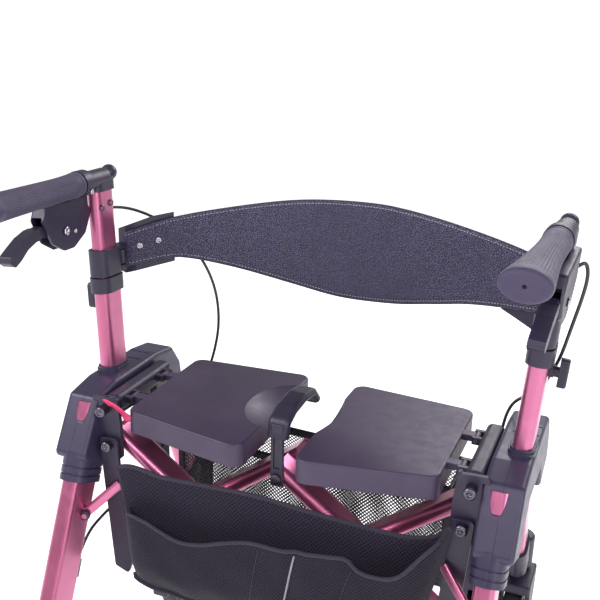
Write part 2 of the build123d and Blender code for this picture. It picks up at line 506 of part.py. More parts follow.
# ---- side fasteners: bolts, rivets, rear axle, shoe pin, seat hinge pins --------------------------
fasteners = []
for (bolt_x, bolt_z), tail in ((UPPER_BOLT, -34), (LOWER_BOLT, 46)):
    shank = rod((bolt_x, -64, bolt_z), (bolt_x, tail, bolt_z), PIN_R)
    shank += rod((bolt_x, -77, bolt_z), (bolt_x, -71 + (7 if tail < 0 else 0), bolt_z), 7.5)
    shank += rod((bolt_x, -75, bolt_z), (bolt_x, -60, bolt_z), PIN_R)
    fasteners.append(shank)
fasteners.append(axle(REAR_AXLE_Y))
fasteners.append(rod((LEG_X - 19, SHOE_PIVOT[0], SHOE_PIVOT[1]), (LEG_X + 19, SHOE_PIVOT[0], SHOE_PIVOT[1]), PIN_R))
for lug_y in (-22.0, 62.0):
    fasteners.append(rod((SEAT_HINGE_X, lug_y - 14.5, SEAT_HINGE_Z), (SEAT_HINGE_X, lug_y + 14.5, SEAT_HINGE_Z), 3.0))
rivet = rod((270, STAY_OUT[1], STAY_OUT[2]), (LEG_X - LEG_T / 2, STAY_OUT[1], STAY_OUT[2]), 5.0)
fasteners.append(rivet - stay)
adjuster = rod((LEG_X, -103, 307), (LEG_X, -113, 284), 5.0)
adjuster += rod((LEG_X, -101.5, 310), (LEG_X, -103, 307), 3.4)
adjuster += box(LEG_X - 3, LEG_X + 3, -135, -108, 288, 296)
fasteners.append(adjuster - rear_core)
put("side_fasteners", *fasteners)

# ---- cross brace ----------------------------------------------------------------------------
OVERHANG = 11.0


def brace_tube(top, low, plane_y):
    """One brace tube between two pivots, with a bore for each pivot bolt."""
    run = (Vector(low[0], 0, low[1]) - Vector(top[0], 0, top[1])).normalized()
    start = Vector(top[0], plane_y, top[1]) - run * OVERHANG
    end = Vector(low[0], plane_y, low[1]) + run * OVERHANG
    tube = flat_oval(tuple(start), tuple(end), BRACE_W, BRACE_T, (0, 1, 0), TUBE_WALL)
    plug_t, plug_w = BRACE_T - 2 * TUBE_WALL, BRACE_W - 2 * TUBE_WALL
    middle = ((top[0] + low[0]) / 2, (top[1] + low[1]) / 2)
    for x, z in (top, low, middle):
        a = Vector(x, plane_y, z) - run * 9
        b = Vector(x, plane_y, z) + run * 9
        tube += flat_oval(tuple(a), tuple(b), plug_w + 0.4, plug_t + 0.4, (0, 1, 0))
    for x, z in (top, low, middle):
        tube -= rod((x, plane_y - 40, z), (x, plane_y + 40, z), PIN_R + RUNNING_GAP)
    return tube


def brace_bolt(x, z, y0, y1):
    """A pivot bolt with a head at each end."""
    bolt = rod((x, y0, z), (x, y1, z), PIN_R)
    bolt += rod((x, y0 - 3.5, z), (x, y0 + 0.1, z), 7.0)
    return bolt + rod((x, y1 - 0.1, z), (x, y1 + 3.5, z), 7.0)


TOP_L, TOP_C, TOP_R = (-BRACE_X, BRACE_TOP_Z), (0.0, BRACE_TOP_Z), (BRACE_X, BRACE_TOP_Z)
LOW_L, LOW_C, LOW_R = (-BRACE_X, BRACE_LOW_Z), (0.0, BRACE_LOW_Z), (BRACE_X, BRACE_LOW_Z)
MID_L = (-BRACE_X / 2, (BRACE_TOP_Z + BRACE_LOW_Z) / 2)
MID_R = (BRACE_X / 2, MID_L[1])
BACK_Y = REAR_PLANE_Y - BRACE_W / 2 - 0.3
FACE_Y = FRONT_PLANE_Y + BRACE_W / 2 + 0.3
tube_a = brace_tube(TOP_L, LOW_C, REAR_PLANE_Y)
low_bolt = brace_bolt(LOW_C[0], LOW_C[1], BACK_Y, FRONT_PLANE_Y + 23)
put_one("brace_tube_a", tube_a, low_bolt)
put_one("brace_tube_b", brace_tube(TOP_C, LOW_L, FRONT_PLANE_Y))
put_one("brace_tube_c", brace_tube(TOP_C, LOW_R, REAR_PLANE_Y))
put_one("brace_tube_d", brace_tube(TOP_R, LOW_C, FRONT_PLANE_Y))
LINK_Y0, LINK_Y1 = -58.0, -51.0
top_bolt = brace_bolt(0, BRACE_TOP_Z, LINK_Y0 - 0.2, FACE_Y)
pin_b = rod((-BRACE_X, FRONT_PLANE_Y - 22, BRACE_LOW_Z), (-BRACE_X, GUIDE_Y1 - 8, BRACE_LOW_Z), PIN_R)
pin_c = rod((BRACE_X, REAR_PLANE_Y - 22, BRACE_LOW_Z), (BRACE_X, GUIDE_Y1 - 8, BRACE_LOW_Z), PIN_R)
put_one("brace_bolts_left", brace_bolt(*MID_L, BACK_Y, FACE_Y), top_bolt, pin_b)
put_one("brace_bolts_right", brace_bolt(*MID_R, BACK_Y, FACE_Y), pin_c)

# ---- centre pull handle -------------------------------------------------------------------
link = soft_box(-9, 9, LINK_Y0, LINK_Y1, BRACE_TOP_Z - 12, Z0 + 2, 2.5)
link -= rod((0, LINK_Y0 - 2, BRACE_TOP_Z), (0, LINK_Y1 + 2, BRACE_TOP_Z), PIN_R + RUNNING_GAP)
link -= box(-4.5, 4.5, LINK_Y0 - 1, LINK_Y0 + 2, BRACE_TOP_Z + 14, Z0 - 10)
CAP_W, CAP_T = 30.0, 13.0
cap_path = FilletPolyline((0, -53, Z0 - 18), (0, -49, Z0 + 2), (0, -26, Z0 + 11), (0, 10, Z0 + 14), (0, 42, Z0 + 9),
                          (0, 58, Z0 - 8), radius=9)
cap_start = Plane(origin=cap_path @ 0, x_dir=(1, 0, 0), z_dir=cap_path % 0)
cap = sweep(cap_start * RectangleRounded(CAP_W, CAP_T, 6.2), path=cap_path)
put_one("pull_handle", link + cap)

# ---- seat halves --------------------------------------------------------------------------
SEAT_LOW_Z = SEAT_TOP_Z - SEAT_THICK


SCOOP_Y, SCOOP_HALF_LENGTH, SCOOP_DEPTH, SCOOP_SKIN = 33.0, 72.0, 15.0, 4.0
LUG_YS = (-22.0, 62.0)


def finger_scoop(middle, half_width, depth, half_length):
    """A spindle whose belly dips into the seat top beside its inner edge."""
    radius = (half_width**2 + depth**2) / (2 * depth)
    lift = radius - depth
    belly = ThreePointArc((-half_length, -lift), (0, -radius), (half_length, -lift))
    rim = Polyline((half_length, -lift), (half_length, 0), (-half_length, 0), (-half_length, -lift))
    centre = (middle, SCOOP_Y, SEAT_TOP_Z + lift)
    plane = Plane(origin=centre, x_dir=(0, 1, 0), z_dir=(1, 0, 0))
    return revolve(plane * make_face(belly + rim), Axis(centre, (0, 1, 0)))


def seat_half(inner_x, scoop_width):
    """A right-hand seat half: a moulded shell with a finger scoop at its inner edge."""
    outline = Polyline((217, -72), (218, 132), (inner_x, 146), (inner_x, -106), close=True)
    face = fillet(make_face(outline).vertices(), 16.0)
    slab = Pos(0, 0, SEAT_LOW_Z) * extrude(face, SEAT_THICK)
    slab = fillet(slab.faces().sort_by(Axis.Z)[-1].outer_wire().edges(), 3.0)
    scoop_x = inner_x - 5
    hollow = Pos(0, 0, SEAT_LOW_Z - 1) * extrude(offset(face, -4.0), SEAT_THICK - 4)
    hollow -= finger_scoop(scoop_x, scoop_width + 5, SCOOP_DEPTH + SCOOP_SKIN, SCOOP_HALF_LENGTH + 5)
    slab -= hollow
    for rib_y in (-50, 0, 50, 100):
        slab += box(inner_x + 20, 213, rib_y - 1.5, rib_y + 1.5, SEAT_LOW_Z + 4, SEAT_TOP_Z - 3)
    slab -= finger_scoop(scoop_x, scoop_width, SCOOP_DEPTH, SCOOP_HALF_LENGTH)
    for lug_y in LUG_YS:
        lug = box(210, SEAT_HINGE_X, lug_y - 7, lug_y + 7, SEAT_HINGE_Z - 4.5, SEAT_HINGE_Z + 4)
        slab += lug + rod((SEAT_HINGE_X, lug_y - 7, SEAT_HINGE_Z), (SEAT_HINGE_X, lug_y + 7, SEAT_HINGE_Z), 5.0)
    for lug_y in LUG_YS:
        slab -= rod((SEAT_HINGE_X, lug_y - 8, SEAT_HINGE_Z), (SEAT_HINGE_X, lug_y + 8, SEAT_HINGE_Z),
                    3.0 + RUNNING_GAP)
    return slab


nodes["seat_right"] = seat_half(40.0, 16.0)
nodes["seat_left"] = mirror(seat_half(32.0, 52.0), about=Plane.YZ)

# ---- backrest strap and its brackets ----------------------------------------------------------
STRAP_SAG = 96.0
STRAP_T = 5.0
strap_pin = post_frame * Location((BRACKET_PIN[0], BRACKET_PIN[1], PIN_MID))
PIN_X, PIN_Y, PIN_Z = tuple(strap_pin.position)
STRAP_ROOT = (PIN_X - 10, PIN_Y + 10)
STRAP_CHORD = STRAP_ROOT[0]
STRAP_END = PIN_X + 1.0


def strap_y(x):
    """Forward place of the strap's middle line at a distance x from the mid-plane."""
    return STRAP_ROOT[1] + STRAP_SAG * (1 - (x / STRAP_CHORD) ** 2)


STRAIGHT_FROM = STRAP_CHORD - 4
END_Y = strap_y(STRAIGHT_FROM) - 2.0
steps = 12
strap_xs = [STRAIGHT_FROM - (STRAIGHT_FROM - 0.4) * i / steps for i in range(steps + 1)]
strap_line = [(STRAP_END, END_Y - 1.0), (STRAP_CHORD + 4, END_Y)] + [(x, strap_y(x)) for x in strap_xs]


def strap_layer(shift, count):
    """The strap's line moved forwards, as far as the given number of points."""
    return [(x, y + shift) for x, y in strap_line[:count]]


inner_curve = Spline(*strap_layer(-STRAP_T / 2, len(strap_line)))
outer_curve = Spline(*reversed(strap_layer(STRAP_T / 2, len(strap_line))))
strap_face = make_face(inner_curve + Line(inner_curve @ 1, outer_curve @ 0) + outer_curve
                       + Line(outer_curve @ 1, inner_curve @ 0))
strap = Pos(0, 0, 600) * extrude(strap_face, 300)
strap_side = Polyline((0, Z0 + 252), (100, Z0 + 244), (180, Z0 + 234), (240, Z0 + 220), (316, Z0 + 190),
                      (316, Z0 + 137), (240, Z0 + 152), (180, Z0 + 139), (100, Z0 + 120), (0, Z0 + 107), close=True)
strap_trim = extrude(Plane(origin=(0, 300, 0), x_dir=(1, 0, 0), z_dir=(0, -1, 0)) * make_face(strap_side), 400)
strap = strap & strap_trim

# ---- backrest bracket: a plate in front of the strap on an arm round the strap's end -------------
PLATE_T = 3.0
near_line = [(STRAP_END + 12, END_Y + STRAP_T / 2 + 0.6)] + strap_layer(STRAP_T / 2 + 0.6, 5)
far_line = [(STRAP_END + 12, END_Y + STRAP_T / 2 + PLATE_T)] + strap_layer(STRAP_T / 2 + PLATE_T, 5)
plate = Pos(0, 0, PIN_Z - 60) * extrude(make_face(Polyline(*near_line, *reversed(far_line), close=True)), 140)
plate_side = Polyline((320, Z0 + 193), (270, Z0 + 214), (235, Z0 + 222), (235, Z0 + 148), (307, Z0 + 127),
                      (321, Z0 + 131), close=True)
plate &= extrude(Plane(origin=(0, 300, 0), x_dir=(1, 0, 0), z_dir=(0, -1, 0)) * make_face(plate_side), 400)
barrel_height = BACKREST_HIGH - BACKREST_LOW - 2 * EAR_THICK - 4
barrel = Cylinder(6.0, barrel_height) + box(0, 7, -3, 6, -barrel_height / 2, barrel_height / 2)
barrel = post_frame * Pos(*BRACKET_PIN, PIN_MID) * barrel
arm = box(PIN_X + 1.6, PIN_X + 7, PIN_Y, END_Y + STRAP_T / 2 + 1.6, PIN_Z - 9, PIN_Z + 9)
bracket = plate + barrel + arm
bracket -= post_frame * Pos(*BRACKET_PIN, PIN_MID) * Cylinder(2.5 + RUNNING_GAP, 60)
bracket -= strap
put("backrest_strap", strap)
put("backrest_bracket", bracket)


# ---- brake cable, held from the lever to the rear leg ---------------------------------------------
CABLE_R = 2.2
CABLE_LEAD = 9.0        # straight run out of the ferrule
ferrule_end = FERRULE_Y + FERRULE_LENGTH + 0.4
start_at = tuple((brake_frame * Location((FERRULE_X, ferrule_end, FERRULE_Z))).position)
lead_to = tuple((brake_frame * Location((FERRULE_X, ferrule_end + CABLE_LEAD, FERRULE_Z))).position)
CABLE_END = (LEG_X, -101, 311)
inward_route = [
    (326, 58, 789), (311, 100, 782), (278, 136, 758), (236, 160, 716), (208, 170, 662), (198, 169, 602),
    (205, 164, 546), (223, 160, 492), (247, 144, 442), (266, 112, 402), (275, 66, 372), (281, 14, 354),
    (287, -40, 346), (290, -80, 334), CABLE_END]
outward_route = [
    (338, 30, Z0 + 238), (345, 34, Z0 + 242), (349, 36, Z0 + 226), (346, 38, Z0 + 200), (337, 40, Z0 + 156),
    (329, 43, Z0 + 116), (317, 54, Z0 + 84), (307, 64, Z0 + 58), (298, 84, Z0 + 42), (284, 108, Z0 + 30),
    (264, 126, Z0 + 4), (255, 137, Z0 - 44), (254, 138, Z0 - 98), (266, 112, Z0 - 158),
    (275, 66, 372), (281, 14, 354), (287, -40, 346), (290, -80, 334), CABLE_END]


def fair_radii(points):
    """Tangent arc radii, each as large as its two runs allow."""
    radii = []
    for before, here, after in zip(points, points[1:], points[2:]):
        run_in = Vector(*here) - Vector(*before)
        run_out = Vector(*after) - Vector(*here)
        turn = radians(run_in.get_angle(run_out))
        radii.append(0.45 * min(run_in.length, run_out.length) / tan(turn / 2))
    return radii


def brake_cable(route):
    """The outer hose of a brake cable along a route from the lever to its adjuster."""
    points = [start_at, lead_to] + route
    radii = fair_radii(points)
    path = FilletPolyline(*points, radius=radii)
    hose = sweep(Plane(origin=path @ 0, z_dir=path % 0) * Circle(CABLE_R), path=path)
    print("cable length", round(path.length), "radii", [round(r) for r in radii])
    print("cable volume ratio", round(hose.volume / (path.length * pi * CABLE_R**2), 3))
    return hose


nodes["brake_cable_left"] = mirror(brake_cable(inward_route), about=Plane.YZ)
nodes["brake_cable_right"] = brake_cable(outward_route)

# ---- storage pouch and net bag ------------------------------------------------------------------
POUCH_HALF = 214.0
pouch = soft_box(-POUCH_HALF, POUCH_HALF, -134, -86, Z0 - 262, Z0 - 92, 8.0)
pouch -= box(-POUCH_HALF + 5, POUCH_HALF - 5, -129, -91, Z0 - 256, Z0)
NET_HALF, NET_LOW = 208.0, Z0 - 262.0
net_outer = soft_box(-NET_HALF, NET_HALF, 54, 148, NET_LOW, Z0 - 100, 8.0)
net_outer -= box(-NET_HALF + 4, NET_HALF - 4, 58, 144, NET_LOW + 4, Z0)
put_one("storage_bags", pouch, net_outer)

# ---- write the pieces ---------------------------------------------------------------------------
os.makedirs("parts", exist_ok=True)
whole = None
for name, shape in nodes.items():
    moved = Pos(0, Y_SHIFT, 0) * shape
    bounds = moved.bounding_box()
    whole = bounds if whole is None else whole.add(bounds)
    export_step(moved, "parts/" + name + ".step")
print("nodes", len(nodes), "shift", round(Y_SHIFT, 3))
print("box", whole.min, whole.max)
print("strap pin", PIN_X, PIN_Y + Y_SHIFT, PIN_Z)
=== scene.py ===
import json
import math

import bpy
import numpy as np
from mathutils import Matrix, Vector


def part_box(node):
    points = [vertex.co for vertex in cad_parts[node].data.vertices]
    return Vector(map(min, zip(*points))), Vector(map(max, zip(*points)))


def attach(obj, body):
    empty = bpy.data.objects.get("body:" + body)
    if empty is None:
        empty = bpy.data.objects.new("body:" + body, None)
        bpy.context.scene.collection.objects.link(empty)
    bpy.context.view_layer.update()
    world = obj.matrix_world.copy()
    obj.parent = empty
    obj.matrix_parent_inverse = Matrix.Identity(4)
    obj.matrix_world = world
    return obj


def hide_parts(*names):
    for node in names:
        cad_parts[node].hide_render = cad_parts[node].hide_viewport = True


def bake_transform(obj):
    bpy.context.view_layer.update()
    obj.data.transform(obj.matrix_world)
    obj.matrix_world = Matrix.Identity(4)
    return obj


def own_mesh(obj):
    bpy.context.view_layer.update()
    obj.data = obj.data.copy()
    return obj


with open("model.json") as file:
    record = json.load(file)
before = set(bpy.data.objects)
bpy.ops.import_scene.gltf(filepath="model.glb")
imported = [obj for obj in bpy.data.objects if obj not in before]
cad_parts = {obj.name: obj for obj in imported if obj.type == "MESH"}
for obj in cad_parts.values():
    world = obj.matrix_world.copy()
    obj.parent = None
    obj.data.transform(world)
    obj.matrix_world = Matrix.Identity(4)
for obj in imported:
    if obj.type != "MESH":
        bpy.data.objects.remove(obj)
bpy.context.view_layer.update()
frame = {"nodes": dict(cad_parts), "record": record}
SIDE_SIGNS = {"left": -1.0, "right": 1.0}      # the sign of x on each side of the walker
COLLAR_Z = 0.5605          # top of the housings' post collars
SHIFT_Y = 0.002            # the walker's own y zero lies this far in front of its posts' drawing plane
POST_X = 0.300             # foot of the right post's middle line, at the collar
POST_Y = 0.024
HANDLE_UP = 0.276          # from there up the post to the bar's middle line
POST_LEAN = math.radians(-2.0)
POST_SPLAY = math.radians(3.6)
BAR_TILT = math.radians(1.0)
BAR_TOE = math.radians(-1.6)
BRAKE_TILT = math.radians(5.0)


# ---- materials ------------------------------------------------------------------------------------

class Shader:
    """A material whose node tree is built one node at a time around its Principled shader."""

    def __init__(self, name, **sockets):
        self.material = bpy.data.materials.new(name)
        self.material.use_nodes = True
        self.tree = self.material.node_tree
        self.out = self.tree.nodes["Principled BSDF"]
        for socket, value in sockets.items():
            self.out.inputs[socket.replace("_", " ")].default_value = value

    def add(self, kind, inputs=(), **settings):
        node = self.tree.nodes.new(kind)
        for key, value in settings.items():
            setattr(node, key, value)
        for key, value in dict(inputs).items():
            if isinstance(value, bpy.types.NodeSocket):
                self.tree.links.new(value, node.inputs[key])
            else:
                node.inputs[key].default_value = value
        return node

    def link(self, output, socket):
        self.tree.links.new(output, self.out.inputs[socket])

    def place(self, scale=(1, 1, 1), uv=False):
        where = self.add("ShaderNodeTexCoord").outputs["UV" if uv else "Object"]
        return self.add("ShaderNodeMapping", {"Vector": where, "Scale": scale}).outputs["Vector"]

    def noise(self, where, scale, detail=3.0, rough=0.55):
        return self.add("ShaderNodeTexNoise", {"Vector": where, "Scale": scale, "Detail": detail,
                                               "Roughness": rough}).outputs["Fac"]

    def spread(self, fac, low, high):
        """The factor's middle range stretched to run from low to high."""
        return self.add("ShaderNodeMapRange", {"Value": fac, "From Min": 0.3, "From Max": 0.7,
                                               "To Min": low, "To Max": high}).outputs["Result"]

    def blend(self, fac, first, second):
        ramp = self.add("ShaderNodeValToRGB", {"Fac": fac})
        ramp.color_ramp.elements[0].color = (*first, 1)
        ramp.color_ramp.elements[1].color = (*second, 1)
        ramp.color_ramp.elements[0].position = 0.3
        ramp.color_ramp.elements[1].position = 0.7
        return ramp.outputs["Color"]

    def bump(self, height, depth, strength=1.0, rounding=0.0):
        inputs = {"Height": height, "Distance": depth, "Strength": strength}
        if rounding:
            inputs["Normal"] = self.add("ShaderNodeBevel", {"Radius": rounding}, samples=4).outputs["Normal"]
        self.link(self.add("ShaderNodeBump", inputs).outputs["Normal"], "Normal")


def anodised(name, dark, light):
    s = Shader(name, Metallic=0.88, Coat_Weight=0.45, Coat_Roughness=0.16)
    where = s.place()
    s.link(s.blend(s.noise(where, 9.0), dark, light), "Base Color")
    s.link(s.spread(s.noise(where, 90.0), 0.30, 0.40), "Roughness")
    brushed = s.place((1.0, 1.0, 0.08))
    s.bump(s.noise(brushed, 700.0, 2.0), 0.000012)
    return s.material


def moulded(name, dark, light, rough, grain, depth, rounding=0.0007, sheen=0.0):
    """Moulded plastic with a fine eroded texture; grain is the size of its bumps in metres."""
    s = Shader(name, Sheen_Weight=sheen, Sheen_Roughness=0.4)
    where = s.place()
    s.link(s.blend(s.noise(where, 14.0, 4.0), dark, light), "Base Color")
    s.link(s.spread(s.noise(where, 70.0), rough - 0.05, rough + 0.06), "Roughness")
    s.bump(s.noise(where, 1.0 / grain, 2.0), depth, rounding=rounding)
    return s.material


def leatherette(name):
    """Pebbled imitation leather on a UV map in metres, with painted shade darkening the creases between its
    pebbles.
    """
    s = Shader(name, Coat_Weight=0.08, Coat_Roughness=0.35)
    where = s.place(uv=True)
    wavy = s.add("ShaderNodeMixRGB", {"Fac": 0.0012, "Color1": where,
                 "Color2": s.add("ShaderNodeTexNoise", {"Vector": where, "Scale": 300.0}).outputs["Color"]})
    pebble = s.add("ShaderNodeTexVoronoi",
                   {"Vector": wavy.outputs["Color"], "Scale": 360.0, "Randomness": 0.9},
                   feature="DISTANCE_TO_EDGE").outputs["Distance"]
    height = s.add("ShaderNodeMapRange", {"Value": pebble, "From Max": 0.22, "To Max": 1.0},
                   interpolation_type="SMOOTHSTEP").outputs["Result"]
    tone = s.noise(where, 12.0, 3.0)
    base = s.blend(tone, (0.066, 0.059, 0.122), (0.086, 0.076, 0.150))
    # painted shade: near black down in the creases between the pebbles, where the bump height is low
    crease = s.add("ShaderNodeMixRGB", {"Fac": height, "Color1": (0.020, 0.017, 0.036, 1), "Color2": base})
    s.link(crease.outputs["Color"], "Base Color")
    s.link(s.spread(s.noise(where, 500.0), 0.36, 0.48), "Roughness")
    s.bump(height, 0.0008)
    return s.material


def mesh_cloth(name, dark, light, pitch, depth):
    """Knitted spacer mesh: rows of small round holes between raised threads, on a UV map in metres; the
    colour dark is painted shade in the holes.
    """
    s = Shader(name, Sheen_Weight=0.06, Sheen_Roughness=0.5, Roughness=0.85, Specular_IOR_Level=0.25)
    slanted = s.add("ShaderNodeMapping", {"Vector": s.add("ShaderNodeTexCoord").outputs["UV"],
                                          "Rotation": (0, 0, math.radians(45))}).outputs["Vector"]
    cell = s.add("ShaderNodeTexVoronoi", {"Vector": slanted, "Scale": 1.0 / pitch, "Randomness": 0.12},
                 feature="F1").outputs["Distance"]
    height = s.add("ShaderNodeMapRange", {"Value": cell, "From Min": 0.24, "From Max": 0.44},
                   interpolation_type="SMOOTHSTEP").outputs["Result"]
    thread = s.noise(slanted, 2600.0, 2.0)
    tone = s.blend(thread, light, tuple(0.6 * c for c in light))
    # painted shade: the holes, where the height is low, take the near-black colour dark in place of the shade
    # seen through them
    hole_shade_mix = s.add("ShaderNodeMixRGB", {"Fac": height, "Color1": (*dark, 1), "Color2": tone})
    s.link(hole_shade_mix.outputs["Color"], "Base Color")
    s.bump(height, depth)
    return s.material


def tape(name, dark, light, pitch):
    """Woven binding tape with fine ribs across it."""
    s = Shader(name, Sheen_Weight=0.06, Roughness=0.75)
    where = s.place()
    ribs = s.add("ShaderNodeTexWave", {"Vector": where, "Scale": 0.5 / pitch, "Distortion": 1.0},
                 bands_direction="DIAGONAL").outputs["Fac"]
    s.link(s.blend(ribs, dark, light), "Base Color")
    s.bump(ribs, 0.0002)
    return s.material


def bare_metal(name, tone, rough):
    s = Shader(name, Metallic=1.0)
    where = s.place()
    s.link(s.blend(s.noise(where, 60.0), tuple(0.75 * c for c in tone), tone), "Base Color")
    s.link(s.spread(s.noise(where, 300.0), rough - 0.07, rough + 0.08), "Roughness")
    s.bump(s.noise(where, 900.0), 0.00002, rounding=0.0003)
    return s.material


ROSE = anodised("anodised_rose", (0.49, 0.125, 0.240), (0.59, 0.175, 0.320))
ROSE_BRIGHT = moulded("rose_plastic", (0.62, 0.035, 0.13), (0.70, 0.05, 0.17), 0.28, 0.0009, 0.00002)
BLACK = moulded("black_plastic", (0.017, 0.013, 0.031), (0.026, 0.020, 0.045), 0.42, 0.0006, 0.00005)
HOUSING = moulded("housing_plastic", (0.026, 0.020, 0.050), (0.038, 0.030, 0.069), 0.40, 0.0007, 0.00005)
SEAT = moulded("seat_plastic", (0.036, 0.023, 0.054), (0.048, 0.031, 0.069), 0.44, 0.0008, 0.00004, 0.0012)
RUBBER = moulded("grip_rubber", (0.038, 0.028, 0.066), (0.050, 0.037, 0.084), 0.60, 0.0005, 0.00004, 0, 0.15)
TYRE = moulded("tyre_rubber", (0.022, 0.022, 0.024), (0.040, 0.039, 0.042), 0.72, 0.0010, 0.00008, 0, 0.1)
HUB = moulded("hub_plastic", (0.10, 0.098, 0.105), (0.135, 0.132, 0.14), 0.45, 0.0008, 0.00005)
STEEL = bare_metal("zinc_steel", (0.62, 0.60, 0.64), 0.30)
DARK_STEEL = bare_metal("dark_steel", (0.16, 0.14, 0.18), 0.34)
LEATHER = leatherette("strap_leatherette")
THREAD = tape("stitch_thread", (0.34, 0.32, 0.36), (0.55, 0.53, 0.57), 0.0009)
# the first colour of each mesh cloth is painted shade in its holes
MESH_CLOTH = mesh_cloth("bag_mesh_cloth", (0.001, 0.001, 0.002), (0.026, 0.020, 0.042), 0.0042, 0.0006)
POCKET_CLOTH = mesh_cloth("pocket_mesh_cloth", (0.001, 0.001, 0.002), (0.018, 0.014, 0.031), 0.0036, 0.0005)
BINDING = tape("binding_tape", (0.010, 0.007, 0.016), (0.026, 0.019, 0.042), 0.0011)
PIPING = tape("pocket_piping", (0.20, 0.19, 0.22), (0.34, 0.32, 0.36), 0.0010)
NET = tape("net_cord", (0.012, 0.012, 0.014), (0.045, 0.043, 0.050), 0.0008)
HOSE = moulded("cable_hose", (0.018, 0.017, 0.020), (0.030, 0.028, 0.033), 0.33, 0.0012, 0.00002, 0)

SLOT_LOOKS = {"anodised_rose": ROSE, "black_plastic": BLACK, "seat_plastic": SEAT, "grip_rubber": RUBBER,
              "tyre_rubber": TYRE, "hub_plastic": HUB, "bare_steel": STEEL, "strap_leatherette": LEATHER,
              "bag_mesh": MESH_CLOTH, "cable_hose": HOSE}


def dress_cad():
    """Every CAD node that stays gets the procedural look of its slot, the housings a paler one."""
    for part in frame["record"]["subparts"]:
        name = part["node"]
        look = SLOT_LOOKS[part["material_slot"]]
        if name.startswith("housing"):
            look = HOUSING
        elif name.startswith(("side_fasteners", "brace_bolts")):
            look = DARK_STEEL
        node = frame["nodes"][name]
        node.data.materials.clear()
        node.data.materials.append(look)


# ---- mesh helpers -----------------------------------------------------------------------------------

def piece(name, verts, faces, look, body, slot, side="right", smooth=True):
    """A mesh drawn for the right-hand side of the walker, mirrored for the left, that rides on a body."""
    sign = SIDE_SIGNS[side]
    points = [(sign * v[0], v[1], v[2]) for v in verts]
    loops = faces if sign > 0 else [tuple(reversed(f)) for f in faces]
    mesh = bpy.data.meshes.new(name)
    mesh.from_pydata(points, [], loops)
    mesh.materials.append(look)
    mesh.polygons.foreach_set("use_smooth", [smooth] * len(mesh.polygons))
    obj = bpy.data.objects.new(name, mesh)
    bpy.context.scene.collection.objects.link(obj)
    if body:
        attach(obj, body)
    return obj


def angles(count):
    """The angles of count points spread evenly round a circle."""
    return [2 * math.pi * i / count for i in range(count)]


def ring_faces(rings, count, first=0):
    """Quads between successive closed rings of count points each, from the vertex numbered first."""
    faces = []
    for r in range(rings - 1):
        for i in range(count):
            a = first + r * count + i
            b = first + r * count + (i + 1) % count
            faces.append((a, b, b + count, a + count))
    return faces


def join_parts(parts):
    """Several (verts, faces) as one."""
    verts, faces = [], []
    for v, f in parts:
        base = len(verts)
        verts += list(v)
        faces += [tuple(base + i for i in face) for face in f]
    return verts, faces


def moved(part, matrix):
    return [matrix @ Vector(v) for v in part[0]], part[1]


def turned(profile, segments=32):
    """A closed body of revolution about Z from (radius, z) points, both ends on the axis."""
    inner = profile[1:-1]
    verts = [(radius * math.cos(a), radius * math.sin(a), z) for radius, z in inner for a in angles(segments)]
    faces = ring_faces(len(inner), segments)
    start, end = len(verts), len(verts) + 1
    verts += [(0, 0, profile[0][1]), (0, 0, profile[-1][1])]
    last = (len(inner) - 1) * segments
    for i in range(segments):
        faces.append((start, (i + 1) % segments, i))
        faces.append((end, last + i, last + (i + 1) % segments))
    return verts, faces


def screw(radius, height, socket=0.45):
    """A pan head screw with a hexagon socket, its seat at z 0 and its head towards +Z."""
    segments = 36
    # (share of the radius, share of the height), up the round outside and down the hexagon
    outside = ((1.0, 0.0), (1.0, 0.35), (0.95, 0.62), (0.80, 0.88), (0.62, 1.0))
    hexagon = ((socket * 1.08, 1.0), (socket, 0.94), (socket * 0.97, 0.35))
    verts = []
    for share, rise in outside:
        for a in angles(segments):
            verts.append((radius * share * math.cos(a), radius * share * math.sin(a), height * rise))
    for share, rise in hexagon:
        for a in angles(segments):
            flat = (a + math.pi / 6) % (math.pi / 3) - math.pi / 6
            r = radius * share / math.cos(flat)
            verts.append((r * math.cos(a), r * math.sin(a), height * rise))
    rings = len(outside) + len(hexagon)
    faces = ring_faces(rings, segments)
    faces.append(tuple(reversed(range(segments))))
    faces.append(tuple(range((rings - 1) * segments, rings * segments)))
    return verts, faces


def facing(place, direction):
    """A matrix that stands local +Z on a place, pointing along a direction."""
    turn = Vector(direction).normalized().to_track_quat("Z", "Y").to_matrix().to_4x4()
    return Matrix.Translation(Vector(place)) @ turn


def smooth_line(points, steps):
    """A Catmull-Rom curve through the points, with some steps between each two."""
    pts = [Vector(p) for p in points]
    pts = [2 * pts[0] - pts[1]] + pts + [2 * pts[-1] - pts[-2]]
    line = []
    for a, b, c, d in zip(pts, pts[1:], pts[2:], pts[3:]):
        for i in range(steps):
            t = i / steps
            line.append(0.5 * (2 * b + (c - a) * t + (2 * a - 5 * b + 4 * c - d) * t * t
                               + (3 * b - a - 3 * c + d) * t ** 3))
    line.append(pts[-2])
    return line


def level(points, x):
    """The height of a smooth outline, given as (x, z) points, at x."""
    line = smooth_line([(p[0], p[1], 0) for p in points], 12)
    return float(np.interp(x, [p.x for p in line], [p.y for p in line]))


